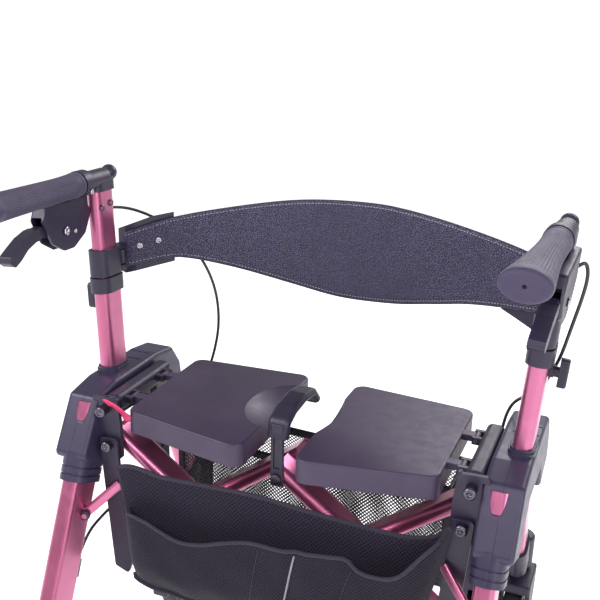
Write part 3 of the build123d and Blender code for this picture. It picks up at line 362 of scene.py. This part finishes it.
def band(line, across, width, thick, rows=3):
    """A flat closed ribbon along a line; across is its width direction, rows its points on each face."""
    verts = []
    count = len(line)
    for i, p in enumerate(line):
        ahead = (line[min(i + 1, count - 1)] - line[max(i - 1, 0)]).normalized()
        side_way = (across - ahead * across.dot(ahead)).normalized()
        out = ahead.cross(side_way)
        for j in range(2 * rows):
            a = 2 * math.pi * (j + 0.5) / (2 * rows)
            verts.append(p + side_way * (width / 2 * math.cos(a)) + out * (thick / 2 * math.sin(a)))
    ring = 2 * rows
    faces = ring_faces(count, ring)
    faces.append(tuple(reversed(range(ring))))
    faces.append(tuple(range((count - 1) * ring, count * ring)))
    return verts, faces


def tube(line, radius, segments=10):
    """A round tube along a line that never runs along the slanted direction given here."""
    return band(line, Vector((0.13, 0.31, 0.94)), 2 * radius, 2 * radius, segments // 2)


def uv_map(obj, coords):
    """Stores one (u, v) per vertex, in metres, as the piece's UV map."""
    layer = obj.data.uv_layers.new(name="metres")
    flat = np.array([coords[loop.vertex_index] for loop in obj.data.loops], np.float32)
    layer.data.foreach_set("uv", flat.ravel())


# ---- backrest strap -----------------------------------------------------------------------------------

STRAP_ROOT_Y = 0.0760
STRAP_CHORD = 0.29493
STRAP_SAG = 0.096
STRAP_THICK = 0.0046
STRAP_END = 0.3049
STRAP_BEND = 0.2910        # where the bowed band straightens out on its bracket
STRAP_BEND_RUN = 0.0046
STRAP_FRONT_UV = 0.4       # moves the front face's grain away from the rear face's
# (x, height above the collars) of the strap's edges, from its left end to its right end
STRAP_TOP = [(-0.306, 0.190), (-0.250, 0.211), (-0.174, 0.228), (-0.067, 0.246), (0.034, 0.252),
             (0.097, 0.250), (0.196, 0.240), (0.271, 0.231), (0.305, 0.224)]
STRAP_LOW = [(-0.306, 0.138), (-0.250, 0.151), (-0.220, 0.151), (-0.161, 0.139), (-0.075, 0.119),
             (0.000, 0.107), (0.079, 0.111), (0.145, 0.125), (0.206, 0.141), (0.305, 0.160)]
STITCH_INSET = 0.0052
STITCH_PITCH = 0.0044
STITCH_LENGTH = 0.0030
STITCH_RADIUS = 0.00048
STRAP_SCREWS = ((0.2840, 0.1714), (0.2605, 0.1793))       # (x, height above the collars)


def strap_y(x):
    """Forward place of the strap's middle surface at x."""
    bowed = min(abs(x), STRAP_BEND)
    y = STRAP_ROOT_Y + STRAP_SAG * (1 - (bowed / STRAP_CHORD) ** 2)
    past = abs(x) - bowed
    slope = 2 * STRAP_SAG * bowed / STRAP_CHORD ** 2
    return y - slope * STRAP_BEND_RUN * (1 - math.exp(-past / STRAP_BEND_RUN))


def strap_out(x):
    """Unit normal of the strap's middle surface at x, pointing forwards."""
    step = 0.0004
    slope = (strap_y(x + step) - strap_y(x - step)) / (2 * step)
    return Vector((-slope, 1, 0)).normalized()


def half_strap(side):
    """One half of the padded strap, from the middle to its end, with the stitches along its edges."""
    sign = SIDE_SIGNS[side]
    columns, rows = 72, 16
    verts, coords = [], []
    for c in range(columns + 1):
        x = sign * STRAP_END * c / columns
        low, top = level(STRAP_LOW, x), level(STRAP_TOP, x)
        width = top - low
        ring = []
        for face in (-1, 1):
            for r in range(rows + 1):
                share = r / rows if face < 0 else 1 - r / rows
                edge = min(share, 1 - share) * width
                puff = min(1.0, math.sqrt(max(edge, 0.0) / 0.004))
                seam = math.exp(-((edge - STITCH_INSET) / 0.0011) ** 2)
                half = STRAP_THICK / 2 * (0.45 + 0.55 * puff) - 0.0005 * seam
                ring.append((share, face * half))
        for share, off in ring:
            point = Vector((x, strap_y(x), COLLAR_Z + low + width * share)) + strap_out(x) * off
            verts.append(point)
            coords.append((x, low + width * share + (STRAP_FRONT_UV if off > 0 else 0.0)))
    count = 2 * (rows + 1)
    faces = ring_faces(columns + 1, count)
    for c in (0, columns):
        base = len(verts)
        verts += verts[c * count:(c + 1) * count]
        coords += coords[c * count:(c + 1) * count]
        cap = [(base + i, base + i + 1, base + count - 2 - i, base + count - 1 - i)
               for i in range(count // 2 - 1)]
        faces += cap if c == 0 else [tuple(reversed(f)) for f in cap]
    if sign < 0:
        faces = [tuple(reversed(f)) for f in faces]
    strap = piece("strap_band_" + side, verts, faces, LEATHER, "strap_half_" + side, "strap_leatherette")
    uv_map(strap, coords)
    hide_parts("backrest_strap_" + side)
    stitches = []
    shape = turned([(0, -1.0), (0.62, -0.82), (1, -0.4), (1, 0.4), (0.62, 0.82), (0, 1.0)], 6)
    for edge_points, inward in ((STRAP_TOP, -1), (STRAP_LOW, 1)):
        for face in (-1, 1):
            for i in range(int(STRAP_END / STITCH_PITCH)):
                ends = []
                for step in (-0.5, 0.5):
                    x = sign * (i + 0.5) * STITCH_PITCH + step * STITCH_LENGTH
                    z = COLLAR_Z + level(edge_points, x) + inward * STITCH_INSET
                    off = strap_out(x) * face * (STRAP_THICK / 2 - 0.0003)
                    ends.append(Vector((x, strap_y(x), z)) + off)
                run = ends[1] - ends[0]
                size = Matrix.Diagonal((STITCH_RADIUS, STITCH_RADIUS, run.length / 2, 1))
                stitches.append(moved(shape, facing((ends[0] + ends[1]) / 2, run) @ size))
    piece("strap_stitching_" + side, *join_parts(stitches), THREAD, "strap_half_" + side, "strap_leatherette")


def strap_screws(side):
    """Two pan head screws through each strap end into its bracket plate."""
    heads = []
    for x, z in STRAP_SCREWS:
        out = strap_out(x)
        place = Vector((x, strap_y(x), COLLAR_Z + z)) - out * (STRAP_THICK / 2 - 0.0004)
        heads.append(moved(screw(0.0050, 0.0030), facing(place, -out)))
    piece("strap_screws_" + side, *join_parts(heads), STEEL, "strap_half_" + side, "bare_steel", side)


# ---- grips ----------------------------------------------------------------------------------------------

def post_turn():
    """The post's lean backwards and its splay outwards."""
    return Matrix.Rotation(POST_LEAN, 4, "X") @ Matrix.Rotation(POST_SPLAY, 4, "Y")


def post_matrix():
    """The right post's own frame: its middle line up +Z, its foot at the collar."""
    return Matrix.Translation((POST_X, POST_Y + SHIFT_Y, COLLAR_Z)) @ post_turn()


def handle_matrix():
    """The right handle's own frame: +Y forwards along the bar, through the post's middle line."""
    turn = Matrix.Rotation(BAR_TILT, 4, "X") @ Matrix.Rotation(BAR_TOE, 4, "Z")
    return post_matrix() @ Matrix.Translation((0, 0, HANDLE_UP)) @ turn


def brake_matrix():
    """The right brake body's own frame, tilted from the bar."""
    return handle_matrix() @ Matrix.Rotation(BRAKE_TILT, 4, "X")


GRIP_FRONT = -0.054
GRIP_LENGTH = 0.196
GRIP_RIBS = 40
GRIP_HOLE = 0.0022         # radius of the air hole in its cap
# share of the length, width, height, drop of the middle line
GRIP_STATIONS = [(0.000, 0.0330, 0.0330, 0.000), (0.030, 0.0350, 0.0345, 0.000),
                 (0.055, 0.0335, 0.0335, 0.0002), (0.200, 0.0335, 0.0325, 0.0008),
                 (0.380, 0.0350, 0.0330, 0.0010), (0.560, 0.0390, 0.0335, 0.0010),
                 (0.740, 0.0450, 0.0340, 0.0010), (0.880, 0.0500, 0.0348, 0.0010),
                 (0.955, 0.0522, 0.0350, 0.0010), (0.985, 0.0505, 0.0335, 0.0010),
                 (1.000, 0.0450, 0.0280, 0.0010)]


def ribbed_grip(side):
    """The grip with its fine ribs, its flattened palm end and the air hole in its cap."""
    line = smooth_line([(s[1], s[2], s[3]) for s in GRIP_STATIONS], 6)
    shares = smooth_line([(s[0], 0, 0) for s in GRIP_STATIONS], 6)
    segments = GRIP_RIBS * 4
    verts = []
    for size, share in zip(line, shares):
        depth = share.x * GRIP_LENGTH
        fade = min(1.0, max(0.0, (share.x - 0.07) / 0.03), max(0.0, (0.93 - share.x) / 0.03))
        for a in angles(segments):
            rib = 0.00055 * fade * (math.cos(GRIP_RIBS * a) - 1)
            x = (size.x / 2 + rib) * math.cos(a)
            z = (size.y / 2 + rib) * math.sin(a) - size.z
            verts.append((x, GRIP_FRONT - depth, z))
    rings = len(line)
    faces = ring_faces(rings, segments)
    size = line[-1]
    # half width, half height and place behind the end, of the rings of the cap and of its hole
    cap = [(size.x / 2 * scale, size.y / 2 * scale, back) for scale, back in ((0.80, 0.0004), (0.30, 0.0009))]
    cap += [(GRIP_HOLE, GRIP_HOLE, 0.0009), (GRIP_HOLE, GRIP_HOLE, -0.0040)]
    for half_x, half_z, back in cap:
        y = GRIP_FRONT - GRIP_LENGTH - back + 0.0001
        verts += [(half_x * math.cos(a), y, half_z * math.sin(a) - size.z) for a in angles(segments)]
    faces += ring_faces(len(cap) + 1, segments, (rings - 1) * segments)
    total = rings + len(cap)
    faces.append(tuple(range((total - 1) * segments, total * segments)))
    faces.append(tuple(reversed(range(segments))))
    faces = [tuple(reversed(f)) for f in faces]
    part = moved((verts, faces), handle_matrix())
    grip = piece("ribbed_grip_" + side, *part, RUBBER, "post_unit_" + side, "grip_rubber", side)
    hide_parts("grip_" + side)


def brake_screws(side):
    """Socket screws in both faces of the brake body, its bar clamp and the post under the bar."""
    spots = []
    for x, way in ((0.0262, 1), (0.0018, -1)):
        spots += [((x, -0.088, -0.050), way, 0.0058), ((x - way * 0.0012, -0.068, -0.056), way, 0.0032)]
    spots.append(((-0.0166, -0.045, -0.007), -1, 0.0036))
    frame_of = brake_matrix()
    heads = []
    for place, way, size in spots:
        direction = frame_of.to_3x3() @ Vector((way, 0, 0))
        heads.append(moved(screw(size, 0.0020), facing(frame_of @ Vector(place), direction)))
    piece("brake_screws_" + side, *join_parts(heads), STEEL, "post_unit_" + side, "bare_steel", side)
    inward = post_matrix().to_3x3() @ Vector((-1, 0, 0))
    bolts = [moved(screw(0.0047, 0.0032), facing(post_matrix() @ Vector((-0.0101, y, z)), inward))
             for y, z in ((-0.013, 0.237), (0.009, 0.241))]
    piece("post_screws_" + side, *join_parts(bolts), DARK_STEEL, "post_unit_" + side, "bare_steel", side)


# the two brace bolts in the right hinge plate, as (x, height relative to the collars)
BRACE_BOLTS = ((0.256, -0.024), (0.250, -0.076))
BRACE_DROP = 0.185         # from the outer brace pivot down to the middle one
PLUG_STRAIGHT = 0.0115     # half of an end plug's flat sides
PLUG_ROUND = 0.0111        # radius of its two ends


def side_details(side):
    """Socket heads on the two brace bolts, the stay's rivet and black bush, and the fold strap."""
    heads = [moved(screw(0.0082, 0.0050, 0.42), facing((x, -0.0768 + SHIFT_Y, COLLAR_Z + z), (0, -1, 0)))
             for x, z in BRACE_BOLTS]
    piece("brace_caps_" + side, *join_parts(heads), DARK_STEEL, "side_" + side, "bare_steel", side)
    outer = Vector((0.2775, -0.099 + SHIFT_Y, COLLAR_Z - 0.179))
    along = Vector((-0.046, 0.026, 0.047)).normalized()
    across = Vector((-0.30, -0.95, 0.0)).normalized()
    ring = turned([(0, 0), (0.0068, 0), (0.0078, 0.001), (0.0078, 0.0045), (0.0062, 0.006), (0, 0.006)], 28)
    bush = moved(ring, facing(outer + along * 0.004 + across * 0.0035, across))
    piece("stay_bush_" + side, *bush, BLACK, "side_" + side, "black_plastic", side)
    rivet = moved(screw(0.0042, 0.0022, 0.30), facing(outer + along * 0.004 + across * 0.0092, across))
    piece("stay_rivet_" + side, *rivet, ROSE, "side_" + side, "anodised_rose", side)
    if side == "left":
        line = smooth_line([(0.2430, -0.0790, COLLAR_Z - 0.006), (0.2363, -0.0830, COLLAR_Z - 0.003),
                            (0.2270, -0.0810, COLLAR_Z - 0.008), (0.2180, -0.0740, COLLAR_Z - 0.020),
                            (0.2150, -0.0640, COLLAR_Z - 0.034)], 8)
        strap = band(line, Vector((0, -0.55, 0.84)), 0.0150, 0.0024, 5)
        piece("fold_strap", *strap, ROSE_BRIGHT, "side_left", "anodised_rose", side)


def brace_plugs():
    """Bright end plugs in the upper outer ends of the two outer brace tubes."""
    pivot_x, pivot_z = BRACE_BOLTS[1]
    for body, sign, y in (("brace_a", -1, -0.027), ("brace_d", 1, 0.022)):
        top = Vector((sign * pivot_x, y + SHIFT_Y, COLLAR_Z + pivot_z))
        run = Vector((-sign * pivot_x, 0, -BRACE_DROP)).normalized()
        end = top - run * 0.0112
        side_way = Vector((0, 1, 0))
        thick_way = run.cross(side_way)
        verts = []
        count = 40
        for share, rise in ((1.0, -0.004), (1.0, 0.0012), (0.93, 0.0022), (0.6, 0.0025)):
            for a in angles(count):
                wide = math.copysign(PLUG_STRAIGHT, math.cos(a)) + PLUG_ROUND * math.cos(a)
                verts.append(end - run * rise + side_way * wide * share
                             + thick_way * (PLUG_ROUND * math.sin(a)) * share)
        faces = ring_faces(4, count)
        faces.append(tuple(range(3 * count, 4 * count)))
        faces.append(tuple(reversed(range(count))))
        piece("brace_plug_" + body[-1], verts, faces, ROSE_BRIGHT, body, "anodised_rose")


# ---- brake cables -------------------------------------------------------------------------------------

CABLE_RADIUS = 0.0022
# routes from the lever to the barrel adjuster, drawn on the right-hand side: the left hose runs inwards
# of its post, the right one outwards, and below the seat both follow the same way
LOWER_ROUTE = [(0.275, 0.066, 0.372), (0.281, 0.014, 0.354), (0.287, -0.040, 0.346),
               (0.290, -0.080, 0.334), (0.289, -0.101, 0.311)]
INWARD_ROUTE = [(0.326, 0.058, 0.789), (0.311, 0.100, 0.782), (0.278, 0.136, 0.758), (0.236, 0.160, 0.716),
                (0.208, 0.170, 0.662), (0.198, 0.169, 0.602), (0.205, 0.164, 0.546), (0.223, 0.160, 0.492),
                (0.247, 0.144, 0.442), (0.266, 0.112, 0.402)] + LOWER_ROUTE
OUTWARD_ROUTE = [(0.338, 0.030, 0.7985), (0.345, 0.034, 0.8025), (0.349, 0.036, 0.7865),
                 (0.346, 0.038, 0.7605), (0.337, 0.040, 0.7165), (0.329, 0.043, 0.6765),
                 (0.317, 0.054, 0.6445), (0.307, 0.064, 0.6185), (0.298, 0.084, 0.6025),
                 (0.284, 0.108, 0.5905), (0.264, 0.126, 0.5645), (0.255, 0.137, 0.5165),
                 (0.254, 0.138, 0.4625), (0.266, 0.112, 0.4025)] + LOWER_ROUTE
FERRULE = (0.018, -0.0176, -0.040)      # where the hose leaves the brake body, in the brake's own frame
CABLE_LEAD = 0.009                      # its straight run out of there


def cable(side, route):
    """The hose along a NURBS curve with the route's points."""
    sign = SIDE_SIGNS[side]
    lead = Vector((0, CABLE_LEAD, 0))
    start = [brake_matrix() @ Vector(FERRULE), brake_matrix() @ (Vector(FERRULE) + lead)]
    points = start + [Vector((x, y + SHIFT_Y, z)) for x, y, z in route]
    curve = bpy.data.curves.new("cable_line_" + side, "CURVE")
    curve.dimensions = "3D"
    curve.resolution_u = 8
    spline = curve.splines.new("NURBS")
    spline.points.add(len(points) - 1)
    for knot, p in zip(spline.points, points):
        knot.co = (sign * p.x, p.y, p.z, 1)
    spline.order_u = 3
    spline.use_endpoint_u = True
    curve.bevel_depth = CABLE_RADIUS
    curve.bevel_resolution = 4
    curve.use_fill_caps = True
    holder = bpy.data.objects.new("cable_line_" + side, curve)
    mesh = bpy.data.meshes.new_from_object(holder)
    hose = bpy.data.objects.new("cable_hose_" + side, mesh)
    bpy.data.objects.remove(holder)
    bpy.context.scene.collection.objects.link(hose)
    mesh.materials.clear()
    mesh.materials.append(HOSE)
    mesh.polygons.foreach_set("use_smooth", [True] * len(mesh.polygons))
    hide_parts("brake_cable_" + side)
    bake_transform(hose)


# ---- rear pouch -----------------------------------------------------------------------------------------

POUCH_BACK_Y = -0.088 + SHIFT_Y
POUCH_DEPTH = 0.044
# (x, height relative to the collars) along the open top edges, from left to right
POUCH_TOP = [(-0.224, -0.096), (-0.205, -0.091), (-0.183, -0.092), (-0.155, -0.096), (-0.094, -0.093),
             (-0.014, -0.090), (0.060, -0.094), (0.127, -0.096), (0.185, -0.096), (0.222, -0.086),
             (0.240, -0.069)]
POCKET_TOP = [(-0.209, -0.160), (-0.192, -0.147), (-0.163, -0.147), (-0.142, -0.152), (-0.106, -0.160),
              (-0.073, -0.155), (-0.043, -0.145), (0.001, -0.134), (0.051, -0.131), (0.101, -0.125),
              (0.122, -0.123), (0.139, -0.136), (0.185, -0.130), (0.214, -0.098), (0.236, -0.074)]
POUCH_LOW = -0.262
# the left and right ends of the panels: of both at the bottom, of the back and of the pocket at the top
BOTTOM_ENDS = (-0.196, 0.204)
BACK_TOP_ENDS = (-0.224, 0.240)
POCKET_TOP_ENDS = (-0.206, 0.236)
POCKET_SEAMS = (0.485, 0.595, 0.765)      # shares of the way across
PIPED_SEAM = POCKET_SEAMS[1]
CLOTH_THICK = 0.0024


def pouch_sides(share, top_left, top_right):
    """The left and right ends of a panel at a share of its height; the bag tapers downwards."""
    left, right = BOTTOM_ENDS
    return left + (top_left - left) * share, right + (top_right - right) * share ** 1.3


def pouch_low(u):
    """Height of the pouch's bottom edge at a share u of the way across."""
    return POUCH_LOW + 0.004 * abs(2 * u - 1) ** 3


def pocket_front(u, share):
    """A point on the pocket's outer face: share 0 at its bottom edge, 1 at its open top."""
    left, right = pouch_sides(share, *POCKET_TOP_ENDS)
    x = left + (right - left) * u
    low, top = pouch_low(u), level(POCKET_TOP, x)
    end = max(0.0, 1 - abs(2 * u - 1) ** 9) ** 0.5
    belly = 0.42 + 0.58 * math.sin(math.pi / 2 * min(1.0, share / 0.45))
    lip = 1 - 0.04 * max(0.0, share - 0.7) / 0.3 * (1 + math.cos(x * 46.0 + 0.8))
    bulge = belly * lip * end
    for seam in POCKET_SEAMS[1:]:
        bulge *= 1 - 0.10 * math.exp(-((u - seam) / 0.022) ** 2)
    wrinkle = 0.0010 * math.sin(x * 61 + 3 * share) * math.sin(share * 7.3 + x * 17)
    wrinkle += 0.0007 * math.sin(x * 130 - 9 * share) * (1 - share)
    y = POUCH_BACK_Y - 0.003 - (POUCH_DEPTH - 0.006) * min(1.0, bulge) + wrinkle * end
    return Vector((x, y, COLLAR_Z + low + (top - low) * share))


def back_panel(u, share):
    """A point on the pouch's back: share 0 at its bottom edge, 1 at its top."""
    left, right = pouch_sides(share, *BACK_TOP_ENDS)
    x = left + (right - left) * u
    low, top = pouch_low(u), level(POUCH_TOP, x)
    billow = 0.004 * math.sin(math.pi * share) * math.cos(x * 7.2)
    crease = 0.0012 * math.sin(x * 47 + 2.1 * share)
    return Vector((x, POUCH_BACK_Y - billow + crease * (1 - share), COLLAR_Z + low + (top - low) * share))


def cloth_panel(name, shape, columns, rows, look, thick):
    """A sheet of cloth, with its thickness, as a closed mesh with a UV map; returns its flat area too."""
    verts, coords = [], []
    for c in range(columns + 1):
        for r in range(rows + 1):
            p = shape(c / columns, r / rows)
            verts.append(p)
            coords.append((p.x, p.z))
    stride = rows + 1
    faces = []
    area = 0.0
    for c in range(columns):
        for r in range(rows):
            a = c * stride + r
            faces.append((a, a + stride, a + stride + 1, a + 1))
            area += (verts[a + stride] - verts[a]).cross(verts[a + 1] - verts[a]).length
    obj = piece(name, verts, faces, look, None, "bag_mesh")
    uv_map(obj, coords)
    solid = obj.modifiers.new("thickness", "SOLIDIFY")
    solid.thickness = thick
    solid.offset = 0
    apply_modifiers(obj)
    return obj, area


def apply_modifiers(obj):
    """Puts the evaluated mesh in place of the object's modifiers."""
    graph = bpy.context.evaluated_depsgraph_get()
    mesh = bpy.data.meshes.new_from_object(obj.evaluated_get(graph))
    obj.modifiers.clear()
    obj.data = mesh


def bag_squash(obj):
    """The bag rides on the left side's body as the walker folds, with its own copy of its mesh."""
    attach(obj, "side_left")
    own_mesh(obj)


def edge_line(shape, share, count=72):
    """The line across a panel at a share of its height."""
    return [shape(i / count, share) for i in range(count + 1)]


def rear_pouch():
    """The mesh pouch: back sheet, pocket sheet, base, edge binding and the pocket's seams."""
    back, back_area = cloth_panel("pouch_back", back_panel, 96, 20, MESH_CLOTH, CLOTH_THICK)
    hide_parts("storage_bags")
    front, front_area = cloth_panel("pouch_pocket", pocket_front, 120, 28, POCKET_CLOTH, CLOTH_THICK)
    low_line = [Vector((p.x, p.y + 0.002, p.z)) for p in edge_line(pocket_front, 0.0)]
    base = piece("pouch_base", *band(low_line, Vector((0, 1, 0)), 0.018, 0.004, 5), BINDING, None, "bag_mesh")
    edges = [band(edge_line(back_panel, 1.0), Vector((0, 0, 1)), 0.0070, 0.0042, 5),
             band(edge_line(pocket_front, 1.0), Vector((0, 0, 1)), 0.0060, 0.0040, 5)]
    for u in (0.0, 1.0):
        edges.append(band([back_panel(u, i / 16) for i in range(17)], Vector((1, 0, 0)), 0.0055, 0.0048, 5))
        edges.append(band([pocket_front(u, i / 16) for i in range(17)], Vector((1, 0, 0)), 0.0050, 0.0046, 5))
    binding = piece("pouch_binding", *join_parts(edges), BINDING, None, "bag_mesh")
    piped, sewn = [], []
    for u in POCKET_SEAMS:
        line = [pocket_front(u - 0.014 * (1 - i / 24), i / 24) + Vector((0, -0.0014, 0)) for i in range(24)]
        if u == PIPED_SEAM:
            piped.append(tube(line, 0.0014, 8))
        else:
            sewn.append(tube(line, 0.0007, 8))
    piping = piece("pouch_seams", *join_parts(piped), PIPING, None, "bag_mesh")
    plain = piece("pouch_plain_seams", *join_parts(sewn), BINDING, None, "bag_mesh")
    min(back_area, 0.450 * 0.175)
    min(front_area, 0.470 * 0.150)
    for obj in (back, front, base, binding, piping, plain):
        bag_squash(obj)


# ---- net bag under the seat ----------------------------------------------------------------------------

NET_HALF = 0.206
NET_FRONT_Y = 0.146 + SHIFT_Y
NET_REAR_Y = 0.056 + SHIFT_Y
NET_TOP = -0.104
NET_LOW = -0.256
NET_CELL = 0.0062
NET_STRAND = 0.00085


def net_wall(across, y, sag):
    """Point function of an upright net wall: u along X, v from the bottom up."""
    def shape(u, v):
        x = (2 * u - 1) * across
        top = NET_TOP - 0.012 * math.cos(math.pi * (u - 0.5)) * v
        z = NET_LOW + (top - NET_LOW) * v
        belly = sag * math.sin(math.pi * v) * math.sin(math.pi * u)
        return Vector((x, y + belly, COLLAR_Z + z))
    return shape


def net_strands(shape, width, height):
    """Square netting laid on the diagonal over a patch, each strand a thin four-sided cord."""
    parts = []
    step = NET_CELL
    for way in (1, -1):
        start = -height
        while start < width:
            line = []
            count = int(height / step)
            for i in range(count + 1):
                along = height * i / count
                across = start + along if way > 0 else start + height - along
                if 0 <= across <= width:
                    line.append(shape(across / width, along / height))
            if len(line) > 1:
                parts.append(band(line, Vector((0.5, 0.7, 0.5)), 2 * NET_STRAND, 2 * NET_STRAND, 2))
            start += step
    return parts


def net_bag():
    """The open bag under the seat: four walls and a floor of netting, bound with tape."""
    depth = NET_FRONT_Y - NET_REAR_Y
    height = NET_TOP - NET_LOW
    parts = net_strands(net_wall(NET_HALF, NET_FRONT_Y, 0.004), 2 * NET_HALF, height)
    parts += net_strands(net_wall(NET_HALF, NET_REAR_Y, -0.004), 2 * NET_HALF, height)

    def floor(u, v):
        sag = -0.006 * math.sin(math.pi * u) * math.sin(math.pi * v)
        return Vector(((2 * u - 1) * NET_HALF, NET_REAR_Y + depth * v, COLLAR_Z + NET_LOW + sag))

    parts += net_strands(floor, 2 * NET_HALF, depth)
    for end in (-NET_HALF, NET_HALF):
        def wall(u, v, x=end):
            return Vector((x, NET_REAR_Y + depth * u, COLLAR_Z + NET_LOW + height * v))
        parts += net_strands(wall, depth, height)
    net = piece("net_bag", *join_parts(parts), NET, None, "bag_mesh", smooth=False)
    front, rear = net_wall(NET_HALF, NET_FRONT_Y, 0), net_wall(NET_HALF, NET_REAR_Y, 0)
    tapes = []
    for shape in (front, rear):
        tapes.append(band([shape(i / 40, 1.0) for i in range(41)], Vector((0, 0, 1)), 0.014, 0.0030, 4))
        tapes.append(band([shape(i / 40, 0.0) for i in range(41)], Vector((0, 0, 1)), 0.006, 0.0030, 4))
        for u in (0.0, 1.0):
            tapes.append(band([shape(u, i / 20) for i in range(21)], Vector((1, 0, 0)), 0.012, 0.0026, 4))
    for u in (0.0, 1.0):
        for v in (0.0, 1.0):
            ends = [front(u, v), rear(u, v)]
            line = [ends[0].lerp(ends[1], i / 12) for i in range(13)]
            tapes.append(band(line, Vector((0, 0, 1)), 0.012, 0.0030, 4))
    binding = piece("net_binding", *join_parts(tapes), BINDING, None, "bag_mesh")
    for obj in (net, binding):
        bag_squash(obj)


# ---- wheels --------------------------------------------------------------------------------------------

TREAD_BLOCKS = 48
TREAD_MIDDLE = 4           # number of the profile point on the tyre's middle line


def tread(side, wheel):
    """A tyre turned about X with a crowned tread cut by slanted grooves."""
    low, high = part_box(wheel + "_tyre_" + side)
    centre = (low + high) / 2
    radius = (high.z - low.z) / 2
    width = high.x - low.x
    inner = radius - 0.0165
    profile = []
    for i in range(9):
        a = math.pi * i / 8
        edge = i in (0, 8)
        x = math.copysign(width / 2 * 0.90, math.cos(a)) if edge else width / 2 * 0.99 * math.cos(a)
        profile.append((x, radius - 0.0078 + 0.0076 * math.sin(a), i))
    segments = TREAD_BLOCKS * 4
    ring = [(width / 2 * 0.72, inner, -1)] + profile + [(-width / 2 * 0.72, inner, -1)]
    verts = []
    for s, turn in enumerate(angles(segments)):
        for x, r, index in ring:
            off_middle = abs(index - TREAD_MIDDLE)
            if off_middle == 0:
                r = r - 0.0014      # the groove round the middle
            elif off_middle <= 2 and (s + off_middle) % 4 == 0:
                r = r - 0.0016      # a slanted groove
            verts.append((centre.x + x, centre.y + r * math.cos(turn), centre.z + r * math.sin(turn)))
    count = len(ring)
    faces = []
    for s in range(segments):
        t = (s + 1) % segments
        for i in range(count):
            j = (i + 1) % count
            faces.append((s * count + i, s * count + j, t * count + j, t * count + i))
    body = wheel + "_wheel_" + side
    tyre = piece(wheel + "_tread_" + side, verts, faces, TYRE, body, "tyre_rubber")
    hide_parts(wheel + "_tyre_" + side)


# ---- stage, light and camera ---------------------------------------------------------------------------

def stage():
    """A pale floor, much larger than the view."""
    size = 14.0
    steps = 2
    stride = steps + 1
    verts = [(-size + 2 * size * i / steps, -size + 2 * size * j / steps, 0)
             for i in range(steps + 1) for j in range(steps + 1)]
    faces = [(a, a + stride, a + stride + 1, a + 1)
             for a in (i * stride + j for i in range(steps) for j in range(steps))]
    look = Shader("pale_floor", Roughness=0.9, Base_Color=(0.86, 0.86, 0.865, 1),
                  Emission_Color=(1, 1, 1, 1), Emission_Strength=0.66)
    mesh = bpy.data.meshes.new("floor")
    mesh.from_pydata(verts, [], faces)
    mesh.materials.append(look.material)
    floor = bpy.data.objects.new("floor", mesh)
    bpy.context.scene.collection.objects.link(floor)


def softbox(name, place, aim, width, height, power, tint):
    """A rectangular soft light at a place, pointed at aim."""
    data = bpy.data.lights.new(name, "AREA")
    data.shape = "RECTANGLE"
    data.size = width
    data.size_y = height
    data.energy = power
    data.color = tint
    lamp = bpy.data.objects.new(name, data)
    lamp.location = place
    lamp.rotation_euler = (Vector(aim) - Vector(place)).to_track_quat("-Z", "Y").to_euler()
    bpy.context.scene.collection.objects.link(lamp)


def studio():
    """Four soft lights and a white world, brighter to the camera than to the walker."""
    world = bpy.data.worlds.new("studio")
    bpy.context.scene.world = world
    world.use_nodes = True
    tree = world.node_tree
    backdrop = tree.nodes["Background"]
    backdrop.inputs["Color"].default_value = (1, 1, 1, 1)
    seen = tree.nodes.new("ShaderNodeLightPath").outputs["Is Camera Ray"]
    strength = tree.nodes.new("ShaderNodeMapRange")
    strength.inputs["To Min"].default_value = 0.42
    strength.inputs["To Max"].default_value = 1.05
    tree.links.new(seen, strength.inputs["Value"])
    tree.links.new(strength.outputs["Result"], backdrop.inputs["Strength"])
    middle = (0, 0, 0.5)
    cool = (0.97, 0.93, 1.0)
    softbox("key", (-1.6, -1.5, 2.3), middle, 0.9, 0.9, 46, cool)
    softbox("fill", (2.2, -1.2, 1.4), middle, 0.8, 1.6, 24, cool)
    softbox("rim", (0.6, 2.2, 2.0), middle, 2.0, 0.5, 34, cool)
    softbox("front", (0.5, -1.9, 1.9), middle, 0.9, 0.6, 16, cool)
    bpy.context.scene.view_settings.view_transform = "Standard"


def camera():
    """The camera at the photograph's viewing angle."""
    yaw, pitch, roll = math.radians(21.892), math.radians(18.893), math.radians(1.444)
    ahead = Vector((-math.sin(yaw) * math.cos(pitch), math.cos(yaw) * math.cos(pitch), -math.sin(pitch)))
    across = Vector((math.cos(yaw), math.sin(yaw), 0))
    up = across.cross(ahead)
    right = across * math.cos(roll) + up * math.sin(roll)
    top = up * math.cos(roll) - across * math.sin(roll)
    data = bpy.data.cameras.new("camera")
    data.sensor_width = 36.0
    data.lens = 53.83
    data.shift_x = 0.0007
    data.shift_y = 0.0039
    data.clip_start = 0.05
    data.clip_end = 100.0
    cam = bpy.data.objects.new("camera", data)
    turn = Matrix((right, top, -ahead)).transposed().to_4x4()
    cam.matrix_world = Matrix.Translation((0.4106, -1.0102, 1.0851)) @ turn
    bpy.context.scene.collection.objects.link(cam)
    bpy.context.scene.camera = cam


dress_cad()
brace_plugs()
for side in SIDE_SIGNS:
    side_details(side)
    half_strap(side)
    strap_screws(side)
    ribbed_grip(side)
    brake_screws(side)
    for wheel in ("rear", "front"):
        tread(side, wheel)
cable("left", INWARD_ROUTE)
cable("right", OUTWARD_ROUTE)
rear_pouch()
net_bag()
stage()
studio()
camera()
